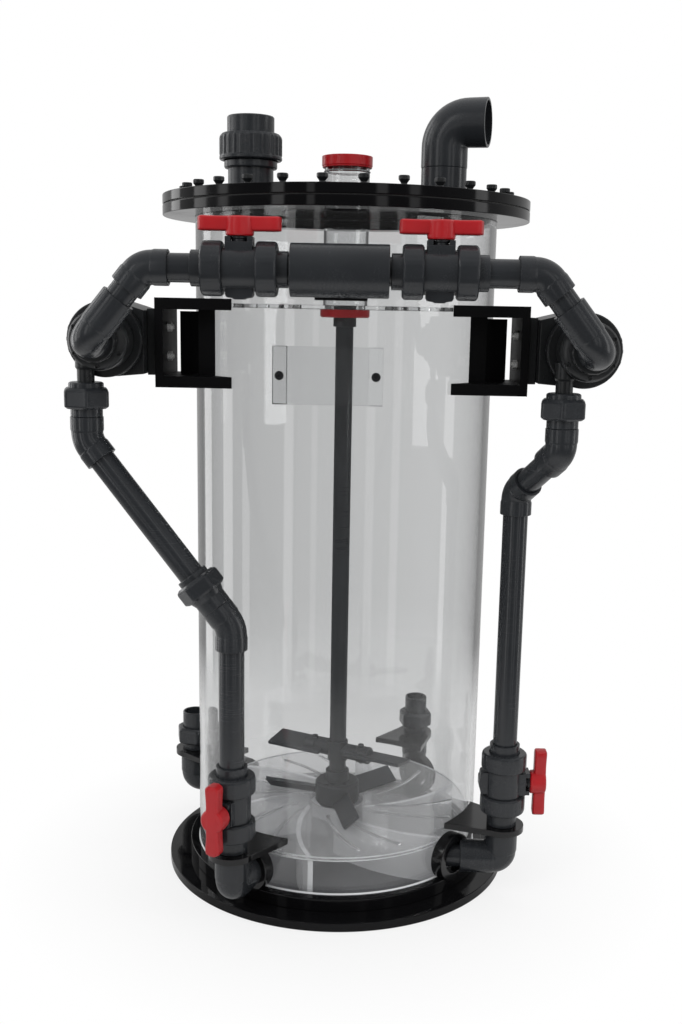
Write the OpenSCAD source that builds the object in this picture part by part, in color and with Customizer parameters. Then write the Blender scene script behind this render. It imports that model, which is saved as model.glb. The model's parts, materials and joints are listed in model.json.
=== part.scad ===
// Bench bioreactor: a clear column with a recirculation header, two pumps and a plenum base.
// Millimetres. Z is up, the front is -Y, and the origin is the middle of the base plate's underside.

/* [Vessel] */
// Outside diameter of the clear tube
tube_od = 400; // [380:1:420]
// Wall of the clear tube
tube_wall = 8; // [5:0.5:10]
// Height of the top flange's underside above the floor
flange_z = 901.5; // [880:0.5:960]
// Width that the base plate, the top flange and the lid stand out beyond the tube
flange_w = 42.5; // [38:0.5:60]
// Thickness of the base plate
base_t = 12; // [8:0.5:16]
// Height of the collar ring round the foot of the tube
collar_h = 18; // [10:0.5:20]
// Radial width of the collar ring
collar_w = 13; // [8:0.5:16]
// Thickness of the top flange
flange_t = 12.5; // [10:0.5:16]
// Thickness of the lid gasket
gasket_t = 1.5; // [1:0.25:3]
// Thickness of the lid
lid_t = 12; // [10:0.5:16]
// Edge chamfer of the black plates
plate_chamfer = 1; // [0.5:0.25:2]

/* [Lid screws] */
// Number of thumbscrews round the lid
screw_count = 28; // [12:2:32]
// Distance of the thumbscrew circle outside the tube
screw_inset = 14; // [12:0.5:19]
// Diameter of a thumbscrew shank
screw_d = 6; // [4:0.5:7]
// Diameter of a thumbscrew head
screw_head_d = 13; // [10:0.5:14]
// Height of a thumbscrew above the lid
screw_h = 12.5; // [8:0.5:14]

/* [Neck] */
// Outside diameter of the clear neck tube
neck_od = 60; // [52:0.5:62]
// Wall of the neck tube
neck_wall = 3; // [2:0.25:4]
// Height of the neck tube above the lid
neck_rise = 52.5; // [46:0.5:70]
// Outside diameter of the red cap and of the red bearing collar
cap_od = 67; // [66:0.5:70]
// Height of the red cap
cap_h = 15; // [13:0.5:26]

/* [Stirrer] */
// Height of the underside of the clear bearing plate
bearing_z = 785.5; // [770:0.5:788]
// Thickness of the bearing plate
bearing_t = 5; // [4:0.5:8]
// Height of the red bearing collar
collar_red_h = 11; // [8:0.5:14]
// Diameter of the stirrer shaft
shaft_d = 24; // [18:0.5:26]
// Diameter of the stop collar on the shaft
stop_od = 31; // [30:0.5:40]
// Height of the middle of the upper cross tee
upper_z = 156; // [150:1:260]
// Length of the upper cross tee
tee_len = 104; // [92:1:116]
// Diameter of the cross tee's arms
arm_d = 30; // [28:0.5:34]
// Bearing of the upper arms in plan
upper_turn = -25; // [-60:1:60]
// Reach of an upper blade from the shaft's axis
upper_reach = 106; // [95:1:130]
// Width of the upper blades
upper_blade_w = 28; // [20:1:30]
// Pitch of the upper blades
upper_pitch = 38; // [30:1:50]
// Height of the lower hub's underside
hub_z = 66; // [60:1:72]
// Height of the lower hub
hub_h = 44; // [36:1:50]
// Diameter of the lower hub
hub_d = 64; // [56:1:68]
// Reach of a lower blade from the shaft's axis
lower_reach = 116; // [90:1:140]
// Width of the lower blades
lower_blade_w = 27; // [20:1:28]
// Pitch of the lower blades
lower_pitch = 42; // [30:1:48]
// Thickness of all blades
blade_t = 5; // [4:0.5:6]

/* [Plenum] */
// Height of the slotted floor's top face
floor_z = 80; // [78:0.5:82]
// Thickness of the slotted floor
floor_t = 6; // [4:0.5:8]
// Number of curved vanes under the floor, with two curved slots between each pair
vane_count = 6; // [4:1:8]
// Thickness of a vane
vane_t = 6; // [4:0.5:8]
// Width of a slot in the floor
slot_w = 4; // [2:0.5:6]
// Radius of the arc that the vanes and slots follow
vane_arc_r = 220; // [200:5:300]
// Bearing of the arc's centre from a vane's outer end
vane_lean = 70; // [60:1:75]

/* [Bottom ports] */
// Bearing of the front right port in plan
port_turn = -29.5; // [-35:0.5:-25]
// Distance from the tube to the mouth of a port's elbow
port_gap = 22; // [19:1:36]
// Height of a port's axis
port_z = 56; // [52:0.5:58]
// Outside diameter of a saddle ring
ring_od = 64; // [56:1:68]
// Height of the gusset plates' underside
gusset_z = 96; // [95.5:0.5:100]
// Thickness of the gusset plates
gusset_t = 8; // [5:0.5:10]
// Half angle that a gusset plate covers along the tube
gusset_half_angle = 12.5; // [10:0.5:16]
// Height of the open rear sockets' mouths
rear_mouth_z = 164; // [160:1:180]

/* [Pipes and fittings] */
// Outside diameter of the pipes
pipe_od = 32; // [30:0.5:33]
// Wall of the pipes
pipe_wall = 2.4; // [1.8:0.2:3]
// Outside diameter of the sockets on elbows and unions
socket_od = 40; // [38.5:0.5:42]
// Depth of a socket
socket_depth = 18; // [14:0.5:20]
// Length of each leg of a right-angled elbow
elbow_leg = 39; // [39:0.5:44]
// Extra length of a suction elbow's sleeve up its pipe
suction_sleeve = 24; // [0:1:28]
// Length of each leg of a half elbow
half_leg = 29; // [28:0.5:34]
// Diameter over the corners of the six-sided union nuts on the pump lines and rear ports
union_nut_od = 58.5; // [55:0.5:60]
// Height of those union nuts
union_nut_h = 25; // [20:0.5:28]

/* [Header] */
// Distance of the header's axis in front of the tube
header_gap = 90; // [84:1:100]
// Height of the header's axis
header_z = 828; // [824:0.5:834]
// Length of the tee's run
tee_run = 110; // [104:1:116]
// Outside diameter of the tee
tee_od = 59; // [56:0.5:62]
// Outside diameter of the branch pipe into the column
branch_od = 48; // [40:0.5:50]
// Distance of the middle of a header valve from the tee's middle
valve_x = 111; // [109:0.5:116]
// Distance of a half elbow's corner inside its pump's axis
corner_inset = 67; // [56:1:76]
// Width of the square saddle block
saddle_w = 62; // [56:1:70]
// Distance that the saddle block stands in front of the tube
saddle_depth = 24; // [16:1:26]

/* [Valves] */
// Diameter of a valve's barrel
barrel_d = 49; // [48:0.5:51]
// Length of a valve's barrel between its nuts
barrel_len = 36; // [34:1:44]
// Diameter of a valve's ball
ball_d = 36; // [32:0.5:38]
// Outside diameter of a valve's union nuts
valve_nut_od = 60; // [57:0.5:64]
// Length of a valve's union nut
valve_nut_len = 24; // [20:0.5:28]
// Length of a valve handle
handle_len = 92; // [70:1:100]
// Height of a valve handle's bar
handle_t = 16; // [10:0.5:20]
// Distance of the handle's underside from the valve's axis
handle_rise = 41; // [40:0.5:46]
// Bearing of the stem of the lower left valve in plan
left_stem_turn = -110; // [-130:1:-90]

/* [Pumps] */
// Distance of the left pump's axis outside its mounting plate's inner face
pump_left_gap = 64; // [60:1:80]
// Distance of the right pump's axis outside its mounting plate's inner face
pump_right_gap = 72; // [66:1:86]
// Height of the pumps' axes
pump_z = 745; // [735:1:755]
// Radius of the clamp ring round the rear of a volute
volute_r = 46; // [44:0.5:48]
// Distance between a suction elbow's mouth and the volute behind it
inlet_gap = 19; // [15:0.5:22]
// Depth of a volute housing
volute_depth = 58; // [50:1:62]
// Length of a motor can
motor_len = 112; // [104:1:120]
// Radius of a motor can
motor_r = 41; // [38:0.5:43]
// Distance from the left pump's axis to its spout
left_outlet_offset = 20; // [18:0.5:26]
// Distance from the right pump's axis to its spout
right_outlet_offset = 25; // [18:0.5:26]
// Outside diameter of a pump's discharge spout
spout_od = 21; // [19:0.5:26]
// Radius of a pump's impeller
impeller_r = 30; // [24:0.5:32]

/* [Brackets] */
// Distance of a bracket's front edge behind the volutes' front faces
bracket_back = 82; // [78:1:86]
// Depth of a bracket from front to rear
bracket_depth = 112; // [100:1:116]
// Distance of the brackets' undersides below the pumps' axes
bracket_drop = 59; // [58:0.5:62]
// Height of a bracket
bracket_h = 110; // [108:0.5:118]
// Height by which the right pump and its bracket sit below the left ones
right_drop = 2.5; // [0:0.5:5]
// Distance of the mounting plates' inner faces outside the tube
mount_gap = 22; // [18:1:24]
// Thickness of the bracket plates
bracket_t = 14; // [8:0.5:16]
// Thickness of a mounting plate
mount_t = 10; // [8:0.5:12]

/* [Discharge lines] */
// Height of the upper corner of the left line
left_corner_z = 624; // [615:1:632]
// Height of the lower corner of the left line
left_lower_z = 400; // [380:1:430]
// Height of the upper corner of the right line
right_corner_z = 621; // [615:1:630]
// Height of the lower corner of the right line
right_lower_z = 560; // [545:1:565]
// Height of the middle of the lower valves
lower_valve_z = 165; // [163:1:180]

/* [Lid fittings] */
// Distance of the outlet union and of the vent from the middle plane
fitting_x = 128; // [110:1:140]
// Outside diameter of the lid pipes
lid_pipe_od = 60; // [50:1:62]
// Height of the outlet pipe above the lid
outlet_pipe_h = 38; // [34:1:50]
// Outside diameter of the outlet union's nut
outlet_nut_od = 83; // [80:1:88]
// Height of the outlet union's nut
outlet_nut_h = 34; // [30:1:38]
// Height of the outlet socket above its nut
outlet_socket_h = 22; // [16:1:30]
// Bore of the outlet socket
outlet_bore = 50; // [40:1:52]
// Height of the vent stub above the lid
vent_pipe_h = 43; // [38:1:50]
// Length of each leg of the vent elbow
vent_leg = 57; // [56:1:64]
// Outside diameter of the vent elbow's mouth
vent_mouth_od = 63; // [61:0.5:67]
// Wall of the vent elbow's mouth
vent_wall = 3.5; // [2:0.25:5]
// Bearing of the vent's mouth in plan
vent_turn = -15; // [-30:1:30]

/* [Nameplate] */
// Sideways offset of the bare nameplate from the middle plane
plate_x = -15; // [-20:1:0]
// Height of the nameplate's middle
plate_z = 707; // [690:1:730]
// Height of the nameplate
plate_h = 69; // [50:1:80]
// Width of the clear plate between the strips
plate_w = 99; // [80:1:104]
// Width of a strip
strip_w = 17; // [14:0.5:20]
// Thickness of the clear plate
plate_t = 4; // [3:0.5:5]

/* [Colours] */
// Dark grey of the moulded pipes and fittings
grey = "#3b3e42"; // ["#3b3e42", "#55585c", "#2b2d30"]
// Gloss black of the plates and brackets
black = "#111213"; // ["#111213", "#1d1e20", "#2a2b2d"]
// Red of the handles, the cap and the bearing collar
red = "#b02027"; // ["#b02027", "#c93a2e", "#8e1a20"]
// Clear sheet and tube
clear = "#c8d4d8"; // ["#c8d4d8", "#dfe7ea", "#b5c4c8"]
// Bright metal of the bolts
steel = "#b9bcc0"; // ["#b9bcc0", "#d0d2d5", "#9da0a4"]

/* [Hidden] */

$fn = 96;

// Clearances: glued seats, running fits, and the reach by which a cut passes a face
seat_gap = 0.1;
run_gap = 0.06;
free_gap = 0.4;
cut = 1;

// Heights and radii that follow from the sizes above
tube_r = tube_od / 2;
tube_ir = tube_r - tube_wall;
plate_r = tube_r + flange_w;
screw_circle_r = tube_r + screw_inset;
flange_top = flange_z + flange_t;
gasket_top = flange_top + gasket_t;
lid_top = gasket_top + lid_t;
bearing_top = bearing_z + bearing_t;
collar_bottom = bearing_z - collar_red_h;
floor_bottom = floor_z - floor_t;
pipe_r = pipe_od / 2;
pipe_ir = pipe_r - pipe_wall;
socket_r = socket_od / 2;
socket_bore_r = pipe_r + seat_gap;
shaft_r = shaft_d / 2;

// Plan positions that follow from the sizes above
port_r = tube_r + port_gap + elbow_leg;
header_y = tube_r + header_gap;
mount_x = tube_r + mount_gap;
pump_left = mount_x + pump_left_gap;
pump_right = mount_x + pump_right_gap;
corner_left = pump_left - corner_inset;
corner_right = pump_right - corner_inset;
volute_y = header_y - elbow_leg - inlet_gap;
bracket_front = volute_y - bracket_back;
bracket_rear = bracket_front - bracket_depth;
bracket_z = pump_z - bracket_drop;

// Corners of the pipe runs
up = [0, 0, 1];
down = [0, 0, -1];
back = [0, 1, 0];
function plan(turn) = [cos(turn), sin(turn), 0];
port_turns = [for (i = [0 : 3]) port_turn - 90 * i];
right_port = 0;
left_port = 1;
function port_point(i, z) = port_r * plan(port_turns[i]) + [0, 0, z];
header_mid = [0, -header_y, header_z];
header_corner = [[-corner_left, -header_y, header_z], [corner_right, -header_y, header_z]];
pump_axis_x = [-pump_left, pump_right];
pump_axis_z = [pump_z, pump_z - right_drop];
suction_corner = [for (i = [0, 1]) [pump_axis_x[i], -header_y, pump_axis_z[i]]];
outlet_y = -(volute_y - volute_depth / 2);
outlet_offset = [left_outlet_offset, right_outlet_offset];
outlet_x = pump_axis_x - outlet_offset;
upper_corner = [[outlet_x[0], outlet_y, left_corner_z], [outlet_x[1], outlet_y, right_corner_z]];
lower_corner = [port_point(left_port, left_lower_z), port_point(right_port, right_lower_z)];
function unit(v) = v / norm(v);
function side_of(v) = let (ref = abs(v.z) < 0.9 ? up : [1, 0, 0]) unit(cross(ref, v));

// ---- Placing helpers ----

// Puts the local Z axis along v and the local origin at p
module along(p, v) {
    z = unit(v);
    x = side_of(z);
    y = cross(z, x);
    multmatrix([[x.x, y.x, z.x, p.x], [x.y, y.y, z.y, p.y], [x.z, y.z, z.z, p.z], [0, 0, 0, 1]])
        children();
}

// Puts local X along u, and local Y in the plane of u and v on v's side
module in_plane(p, u, v) {
    x = unit(u);
    z = unit(cross(x, v));
    y = cross(z, x);
    multmatrix([[x.x, y.x, z.x, p.x], [x.y, y.y, z.y, p.y], [x.z, y.z, z.z, p.z], [0, 0, 0, 1]])
        children();
}

// Puts local Z along the pipe and local X along the stem
module valve_frame(p, axis, stem) {
    z = unit(axis);
    x = unit(stem);
    y = cross(z, x);
    multmatrix([[x.x, y.x, z.x, p.x], [x.y, y.y, z.y, p.y], [x.z, y.z, z.z, p.z], [0, 0, 0, 1]])
        children();
}

// ---- Shapes that repeat ----

// Turned disc with chamfered edges
module chamfered_disc(r, t, c) {
    rotate_extrude() polygon([[0, 0], [r - c, 0], [r, c], [r, t - c], [r - c, t], [0, t]]);
}

// Turned ring from an outline of [radius, height] points
module turned(points) {
    rotate_extrude() polygon(points);
}

module bolt_circle(r, count, start = 0) {
    for (i = [0 : count - 1]) rotate(start + 360 / count * i) translate([r, 0, 0]) children();
}

// Pipe between two points
module pipe(a, b, r = pipe_r, ir = pipe_ir) {
    length = norm(b - a);
    along(a, b - a) difference() {
        cylinder(r = r, h = length);
        translate([0, 0, -cut]) cylinder(r = ir, h = length + 2 * cut);
    }
}

// Socketed elbow with its corner at p and its mouths along u and v; the sleeve along u may be longer
module elbow(p, u, v, leg, sleeve = 0) {
    turn = 180 - acos(unit(u) * unit(v));
    bend = (leg - socket_depth) / tan(turn / 2);
    in_plane(p, u, v) difference() {
        elbow_form(turn, leg, bend, socket_r, socket_r - 1, 0, sleeve);
        elbow_form(turn, leg, bend, socket_bore_r, pipe_ir, cut, sleeve);
    }
}

module elbow_form(turn, leg, bend, end_r, mid_r, past, sleeve) {
    reach = bend * tan(turn / 2);
    lap = 0.5;
    for (a = [0, 180 - turn]) rotate(a) translate([reach - lap, 0, 0]) rotate([0, 90, 0])
        cylinder(r = end_r, h = leg - reach + lap + past + (a == 0 ? sleeve : 0));
    translate([reach, bend, 0]) rotate(-90 - turn)
        rotate_extrude(angle = turn) translate([bend, 0]) circle(r = mid_r);
}

// Where a run leaves an elbow's socket, a set depth inside its mouth
function socket_seat(p, v, leg) = p + (leg - socket_depth + seat_gap) * unit(v);

// ---- Vessel ----

module base_plate() {
    color(black) chamfered_disc(plate_r, base_t, plate_chamfer);
}

module base_ring() {
    r = tube_r + seat_gap;
    top = base_t + collar_h;
    color(black) turned([[r, base_t], [tube_r + collar_w, base_t],
        [tube_r + collar_w, top - plate_chamfer], [tube_r + collar_w - plate_chamfer, top], [r, top]]);
}

module vessel_tube() {
    color(clear) difference() {
        translate([0, 0, base_t]) cylinder(r = tube_r, h = flange_top - base_t, $fn = 180);
        cylinder(r = tube_ir, h = flange_top + cut, $fn = 180);
        for (turn = port_turns) rotate(turn) translate([tube_ir - cut - tube_wall, 0, port_z])
            rotate([0, 90, 0]) cylinder(r = socket_bore_r, h = 4 * tube_wall);
        translate([0, -tube_ir + cut + tube_wall, header_z]) rotate([90, 0, 0])
            cylinder(r = branch_od / 2 + seat_gap, h = 4 * tube_wall);
    }
}

module screw_holes(z, h) {
    translate([0, 0, z - cut]) bolt_circle(screw_circle_r, screw_count, 180 / screw_count - 90)
        cylinder(r = screw_d / 2 + free_gap, h = h + 2 * cut, $fn = 24);
}

module top_flange() {
    color(black) difference() {
        translate([0, 0, flange_z]) chamfered_disc(plate_r, flange_t, plate_chamfer);
        translate([0, 0, flange_z - cut]) cylinder(r = tube_r + seat_gap, h = flange_t + 2 * cut);
        screw_holes(flange_z, flange_t);
    }
}

module lid_gasket() {
    color("#3a3a3a") difference() {
        translate([0, 0, flange_top]) cylinder(r = plate_r - 2 * plate_chamfer, h = gasket_t);
        translate([0, 0, flange_top - cut]) cylinder(r = tube_ir, h = gasket_t + 2 * cut);
        screw_holes(flange_top, gasket_t);
    }
}

module lid() {
    color(black) difference() {
        translate([0, 0, gasket_top]) chamfered_disc(plate_r, lid_t, plate_chamfer);
        screw_holes(gasket_top, lid_t);
        for (hole = [[0, neck_od], [-fitting_x, lid_pipe_od], [fitting_x, lid_pipe_od]])
            translate([hole.x, 0, gasket_top - cut])
                cylinder(r = hole.y / 2 + seat_gap, h = lid_t + 2 * cut);
    }
}

// Knurled cup-shaped heads on narrow necks, with shanks down through the flange
module lid_thumbscrews() {
    head_r = screw_head_d / 2;
    neck_h = screw_h * 0.3;
    color("#1b1c1e") bolt_circle(screw_circle_r, screw_count, 180 / screw_count - 90)
        rotate_extrude($fn = 24) polygon([
            [0, flange_z - 2], [screw_d / 2 - 1, flange_z - 2], [screw_d / 2, flange_z - 1],
            [screw_d / 2, lid_top], [screw_d / 2 + 1.5, lid_top],
            [screw_d / 2 + 0.5, lid_top + neck_h], [head_r - 1.5, lid_top + screw_h * 0.45],
            [head_r, lid_top + screw_h * 0.7], [head_r, lid_top + screw_h - 1],
            [head_r - 1, lid_top + screw_h], [0, lid_top + screw_h]]);
}

// ---- Neck and stirrer ----

module bearing_plate() {
    flow_hole_r = tube_ir / 5;
    flow_circle_r = tube_ir * 0.6;
    color(clear) difference() {
        translate([0, 0, bearing_z]) cylinder(r = tube_ir - seat_gap, h = bearing_t);
        translate([0, 0, bearing_z - cut]) {
            cylinder(r = stop_od / 2 + 3, h = bearing_t + 2 * cut);
            bolt_circle(flow_circle_r, 4, 45) cylinder(r = flow_hole_r, h = bearing_t + 2 * cut);
        }
    }
}

module neck_tube() {
    color(clear) difference() {
        translate([0, 0, bearing_top]) cylinder(r = neck_od / 2, h = lid_top + neck_rise - bearing_top);
        translate([0, 0, bearing_top - cut])
            cylinder(r = neck_od / 2 - neck_wall, h = lid_top + neck_rise - bearing_top + 2 * cut);
    }
}

// Smooth skirted cap; it lifts straight off the neck
module neck_cap() {
    top = lid_top + neck_rise + 3.5;
    color(red) difference() {
        translate([0, 0, top - cap_h]) turned([[0, 0], [cap_od / 2 - 1, 0], [cap_od / 2, 1],
            [cap_od / 2, cap_h - 2.5], [cap_od / 2 - 2.5, cap_h], [0, cap_h]]);
        translate([0, 0, top - cap_h - cut])
            cylinder(r = neck_od / 2 + free_gap, h = cap_h - 3.5 + 0.2 + cut);
    }
}

module bearing_collar() {
    color(red) translate([0, 0, collar_bottom]) difference() {
        turned([[0, 0], [cap_od / 2 - 2, 0], [cap_od / 2, 2], [cap_od / 2, collar_red_h],
            [0, collar_red_h]]);
        translate([0, 0, -cut]) cylinder(r = shaft_r + run_gap, h = collar_red_h + 2 * cut);
    }
}

// Shaft with a head that hangs on the bearing collar and a stop collar below it
module stirrer_shaft() {
    head_h = bearing_t;
    stop_h = 12;
    color(grey) difference() {
        union() {
            translate([0, 0, hub_z + 4]) cylinder(r = shaft_r, h = bearing_z + head_h - hub_z - 4);
            translate([0, 0, bearing_z + 0.2]) cylinder(r = stop_od / 2, h = head_h);
            translate([0, 0, collar_bottom - 0.2 - stop_h])
                chamfered_disc(stop_od / 2, stop_h, 1);
        }
        translate([0, 0, bearing_z + head_h - 10]) cylinder(r = shaft_r * 0.6, h = 20, $fn = 6);
    }
}

// Cross tee clamped on the shaft, with a pitched slot across the end of each arm
module upper_hub() {
    sleeve_r = shaft_r + 6;
    sleeve_h = arm_d + 12;
    color(grey) translate([0, 0, upper_z]) difference() {
        union() {
            translate([0, 0, -sleeve_h / 2]) chamfered_disc(sleeve_r, sleeve_h, 1.5);
            rotate(upper_turn) for (s = [0, 180]) rotate(s) rotate([0, 90, 0]) {
                cylinder(r = arm_d / 2 - 1.5, h = tee_len / 2);
                translate([0, 0, tee_len / 2 - 16]) cylinder(r = arm_d / 2, h = 16);
            }
        }
        cylinder(r = shaft_r + seat_gap, h = 2 * sleeve_h, center = true);
        rotate(upper_turn) for (s = [0, 180]) rotate(s) translate([blade_root(), 0, 0])
            rotate([upper_pitch, 0, 0]) translate([0, -arm_d, -blade_t / 2 - seat_gap])
                cube([tee_len, 2 * arm_d, blade_t + 2 * seat_gap]);
        blade_screw_sites() cylinder(r = 2.6, h = 2 * arm_d, center = true, $fn = 24);
    }
}

function blade_root() = shaft_r + 9;

module blade_screw_sites() {
    rotate(upper_turn) for (s = [0, 180]) rotate(s) translate([tee_len / 2 - 14, 0, 0]) children();
}

module upper_blades() {
    color("#55595c") translate([0, 0, upper_z]) difference() {
        rotate(upper_turn) for (s = [0, 180]) rotate(s)
            translate([blade_root() + seat_gap, 0, 0]) rotate([upper_pitch, 0, 0])
                translate([0, -upper_blade_w / 2, -blade_t / 2])
                    cube([upper_reach - blade_root(), upper_blade_w, blade_t]);
        blade_screw_sites() cylinder(r = 2.6, h = 2 * arm_d, center = true, $fn = 24);
    }
}

// Screws down through the arms and blades, with heads seated on the arms
module blade_screws() {
    color(steel) translate([0, 0, upper_z]) blade_screw_sites() {
        translate([0, 0, arm_d / 2]) cylinder(r = 5, h = 4, $fn = 6);
        translate([0, 0, -arm_d / 2 - 2]) cylinder(r = 2.5, h = arm_d + 3, $fn = 24);
    }
}

lower_turns = [-90, 30, 150];
blade_mid_z = hub_z + hub_h * 0.7;

// Hub with a clamp collar above it and a pitched slot for each blade
module lower_hub() {
    collar_h_up = 16;
    color(grey) difference() {
        union() {
            translate([0, 0, hub_z]) turned([[0, 0], [hub_d / 2 - 12, 0], [hub_d / 2, 14],
                [hub_d / 2, hub_h - 3], [hub_d / 2 - 3, hub_h], [0, hub_h]]);
            translate([0, 0, hub_z + hub_h]) chamfered_disc(shaft_r + 5, collar_h_up, 1.5);
        }
        translate([0, 0, hub_z + 4 - seat_gap]) cylinder(r = shaft_r + seat_gap, h = hub_h + 3 * collar_h_up);
        for (turn = lower_turns) lower_blade_place(turn)
            translate([0, -lower_blade_w / 2 - seat_gap, -blade_t / 2 - seat_gap])
                cube([hub_d, lower_blade_w + 2 * seat_gap, blade_t + 2 * seat_gap]);
    }
}

module lower_blade_place(turn) {
    rotate(turn) translate([shaft_r + 4, 0, blade_mid_z]) rotate([lower_pitch, 0, 0]) children();
}

module lower_blades() {
    color("#55595c") for (turn = lower_turns) lower_blade_place(turn)
        translate([seat_gap, -lower_blade_w / 2, -blade_t / 2])
            cube([lower_reach - shaft_r - 4, lower_blade_w, blade_t]);
}

// ---- Plenum ----

// Band along an arc from radius inner to radius outer, where it points nearly straight out
module curved_band(inner, outer, width) {
    rise = outer * sin(vane_lean);
    centre_r = outer * cos(vane_lean) + sqrt(pow(vane_arc_r, 2) - pow(rise, 2));
    intersection() {
        difference() {
            rotate(vane_lean) translate([centre_r, 0]) circle(r = vane_arc_r + width / 2, $fn = 180);
            rotate(vane_lean) translate([centre_r, 0]) circle(r = vane_arc_r - width / 2, $fn = 180);
            circle(r = inner);
        }
        circle(r = outer);
        rotate(vane_lean - 180) translate([-outer, 0]) square([2 * outer, outer]);
    }
}

hub_hole_r = hub_d / 2 + 6;
vane_start = -98.8;
sector = 360 / vane_count;

module false_floor() {
    color(clear) translate([0, 0, floor_bottom]) difference() {
        cylinder(r = tube_ir - seat_gap, h = floor_t, $fn = 180);
        translate([0, 0, -cut]) {
            cylinder(r = hub_hole_r, h = floor_t + 2 * cut);
            for (i = [0 : vane_count - 1], k = [1, 2]) rotate(vane_start + sector * (i + k / 3))
                linear_extrude(floor_t + 2 * cut) curved_band(hub_hole_r + 22, tube_ir - 22, slot_w);
        }
    }
}

module plenum_vanes() {
    color(clear) translate([0, 0, base_t]) linear_extrude(floor_bottom - base_t)
        for (i = [0 : vane_count - 1]) rotate(vane_start + sector * i)
            curved_band(hub_hole_r + 8, tube_ir - 2, vane_t);
}

// ---- Nameplate, left bare ----

strip_y = tube_r + 8;

module nameplate_strips() {
    color(clear) difference() {
        for (s = [-1, 1]) translate([plate_x + s * (plate_w + strip_w) / 2 - strip_w / 2, -strip_y,
            plate_z - plate_h / 2]) cube([strip_w, tube_r / 2, plate_h]);
        cylinder(r = tube_r + seat_gap, h = flange_z, $fn = 180);
        nameplate_screw_sites() cylinder(r = 2.2, h = 40, center = true, $fn = 24);
    }
}

module nameplate_screw_sites() {
    for (s = [-1, 1]) translate([plate_x + s * (plate_w + strip_w) / 2, -strip_y, plate_z])
        rotate([90, 0, 0]) children();
}

module nameplate_screws() {
    color("#151617") nameplate_screw_sites() {
        chamfered_disc(5.5, 3, 0.8, $fn = 32);
        translate([0, 0, -5]) cylinder(r = 2.1, h = 5.5, $fn = 24);
    }
}

module nameplate() {
    color(clear) translate([plate_x - plate_w / 2 + seat_gap, -tube_r - 0.5 - plate_t,
        plate_z - plate_h / 2]) cube([plate_w - 2 * seat_gap, plate_t, plate_h]);
}

// ---- Lid fittings ----

module outlet_pipe() {
    color(grey) translate([-fitting_x, 0, gasket_top]) difference() {
        cylinder(r = lid_pipe_od / 2, h = lid_t + outlet_pipe_h + 8);
        translate([0, 0, -cut]) cylinder(r = outlet_bore / 2 - 1, h = lid_t + outlet_pipe_h + 20);
    }
}

// Lower half with its rim, and the upper socket that the nut draws down on it
module outlet_union_body() {
    r = lid_pipe_od / 2 + seat_gap;
    bore = outlet_bore / 2;
    z0 = lid_top + outlet_pipe_h;
    nut_top = outlet_nut_h + 10;
    color(grey) translate([-fitting_x, 0, z0]) {
        turned([[r, 0], [34, 0], [35, 1.5], [35, 8.5], [34, 10], [36, 10], [36, 22], [bore - 1, 22],
            [bore - 1, 8 + seat_gap], [r, 8 + seat_gap]]);
        turned([[bore, 22.2], [36, 22.2], [36, 30], [31, 30], [31, nut_top + outlet_socket_h - 1],
            [30, nut_top + outlet_socket_h], [bore, nut_top + outlet_socket_h]]);
    }
}

module outlet_union_nut() {
    r = outlet_nut_od / 2;
    z0 = lid_top + outlet_pipe_h + 10.2;
    h = outlet_nut_h;
    color(grey) translate([-fitting_x, 0, z0]) {
        difference() {
            union() {
                turned([[0, 0], [r - 3, 0], [r - 1, 2], [r - 1, h - 5], [r - 4.5, h], [0, h]]);
                bolt_circle(r - 1.2, 24) translate([0, 0, 2.5])
                    cylinder(r = 1.2, h = h - 9, $fn = 16);
            }
            translate([0, 0, -cut]) cylinder(r = 36 + seat_gap, h = 20 + cut + seat_gap);
            cylinder(r = 31 + seat_gap, h = h + cut);
        }
    }
}

module vent_pipe() {
    color(grey) translate([fitting_x, 0, gasket_top]) difference() {
        cylinder(r = lid_pipe_od / 2, h = lid_t + vent_pipe_h);
        translate([0, 0, -cut]) cylinder(r = lid_pipe_od / 2 - 4, h = lid_t + vent_pipe_h + 2 * cut);
    }
}

// Swept elbow whose mouth looks sideways
module vent_elbow() {
    bend = vent_mouth_od / 2;
    lower_r = lid_pipe_od / 2;
    mouth_r = vent_mouth_od / 2;
    mid_r = (lower_r + mouth_r) / 2;
    color(grey) in_plane([fitting_x, 0, lid_top + vent_pipe_h + vent_leg], down, plan(vent_turn))
        difference() {
            vent_form(bend, lower_r, mid_r, mouth_r, 0);
            vent_form(bend, lower_r - vent_wall, mid_r - vent_wall, mouth_r - vent_wall, cut);
        }
}

module vent_form(bend, lower_r, mid_r, mouth_r, past) {
    translate([bend, 0, 0]) rotate([0, 90, 0]) cylinder(r = lower_r, h = vent_leg - bend + past);
    translate([0, bend, 0]) rotate([-90, 0, 0]) cylinder(r = mouth_r, h = vent_leg - bend + past);
    translate([bend, bend, 0]) rotate(180) rotate_extrude(angle = 90)
        translate([bend, 0]) circle(r = mid_r);
}

// ---- Header ----

saddle_face = tube_r + saddle_depth;
branch_end = header_y - tee_run / 2;

// Square block bored for the branch pipe and hollowed to sit on the tube
module header_saddle() {
    color(black) difference() {
        translate([-saddle_w / 2, -saddle_face, header_z - saddle_w / 2 - 1])
            cube([saddle_w, saddle_face - tube_r + 8, saddle_w + 2]);
        cylinder(r = tube_r + seat_gap, h = flange_z, $fn = 180);
        along(header_mid, back) cylinder(r = branch_od / 2 + seat_gap, h = header_y);
    }
}

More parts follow.
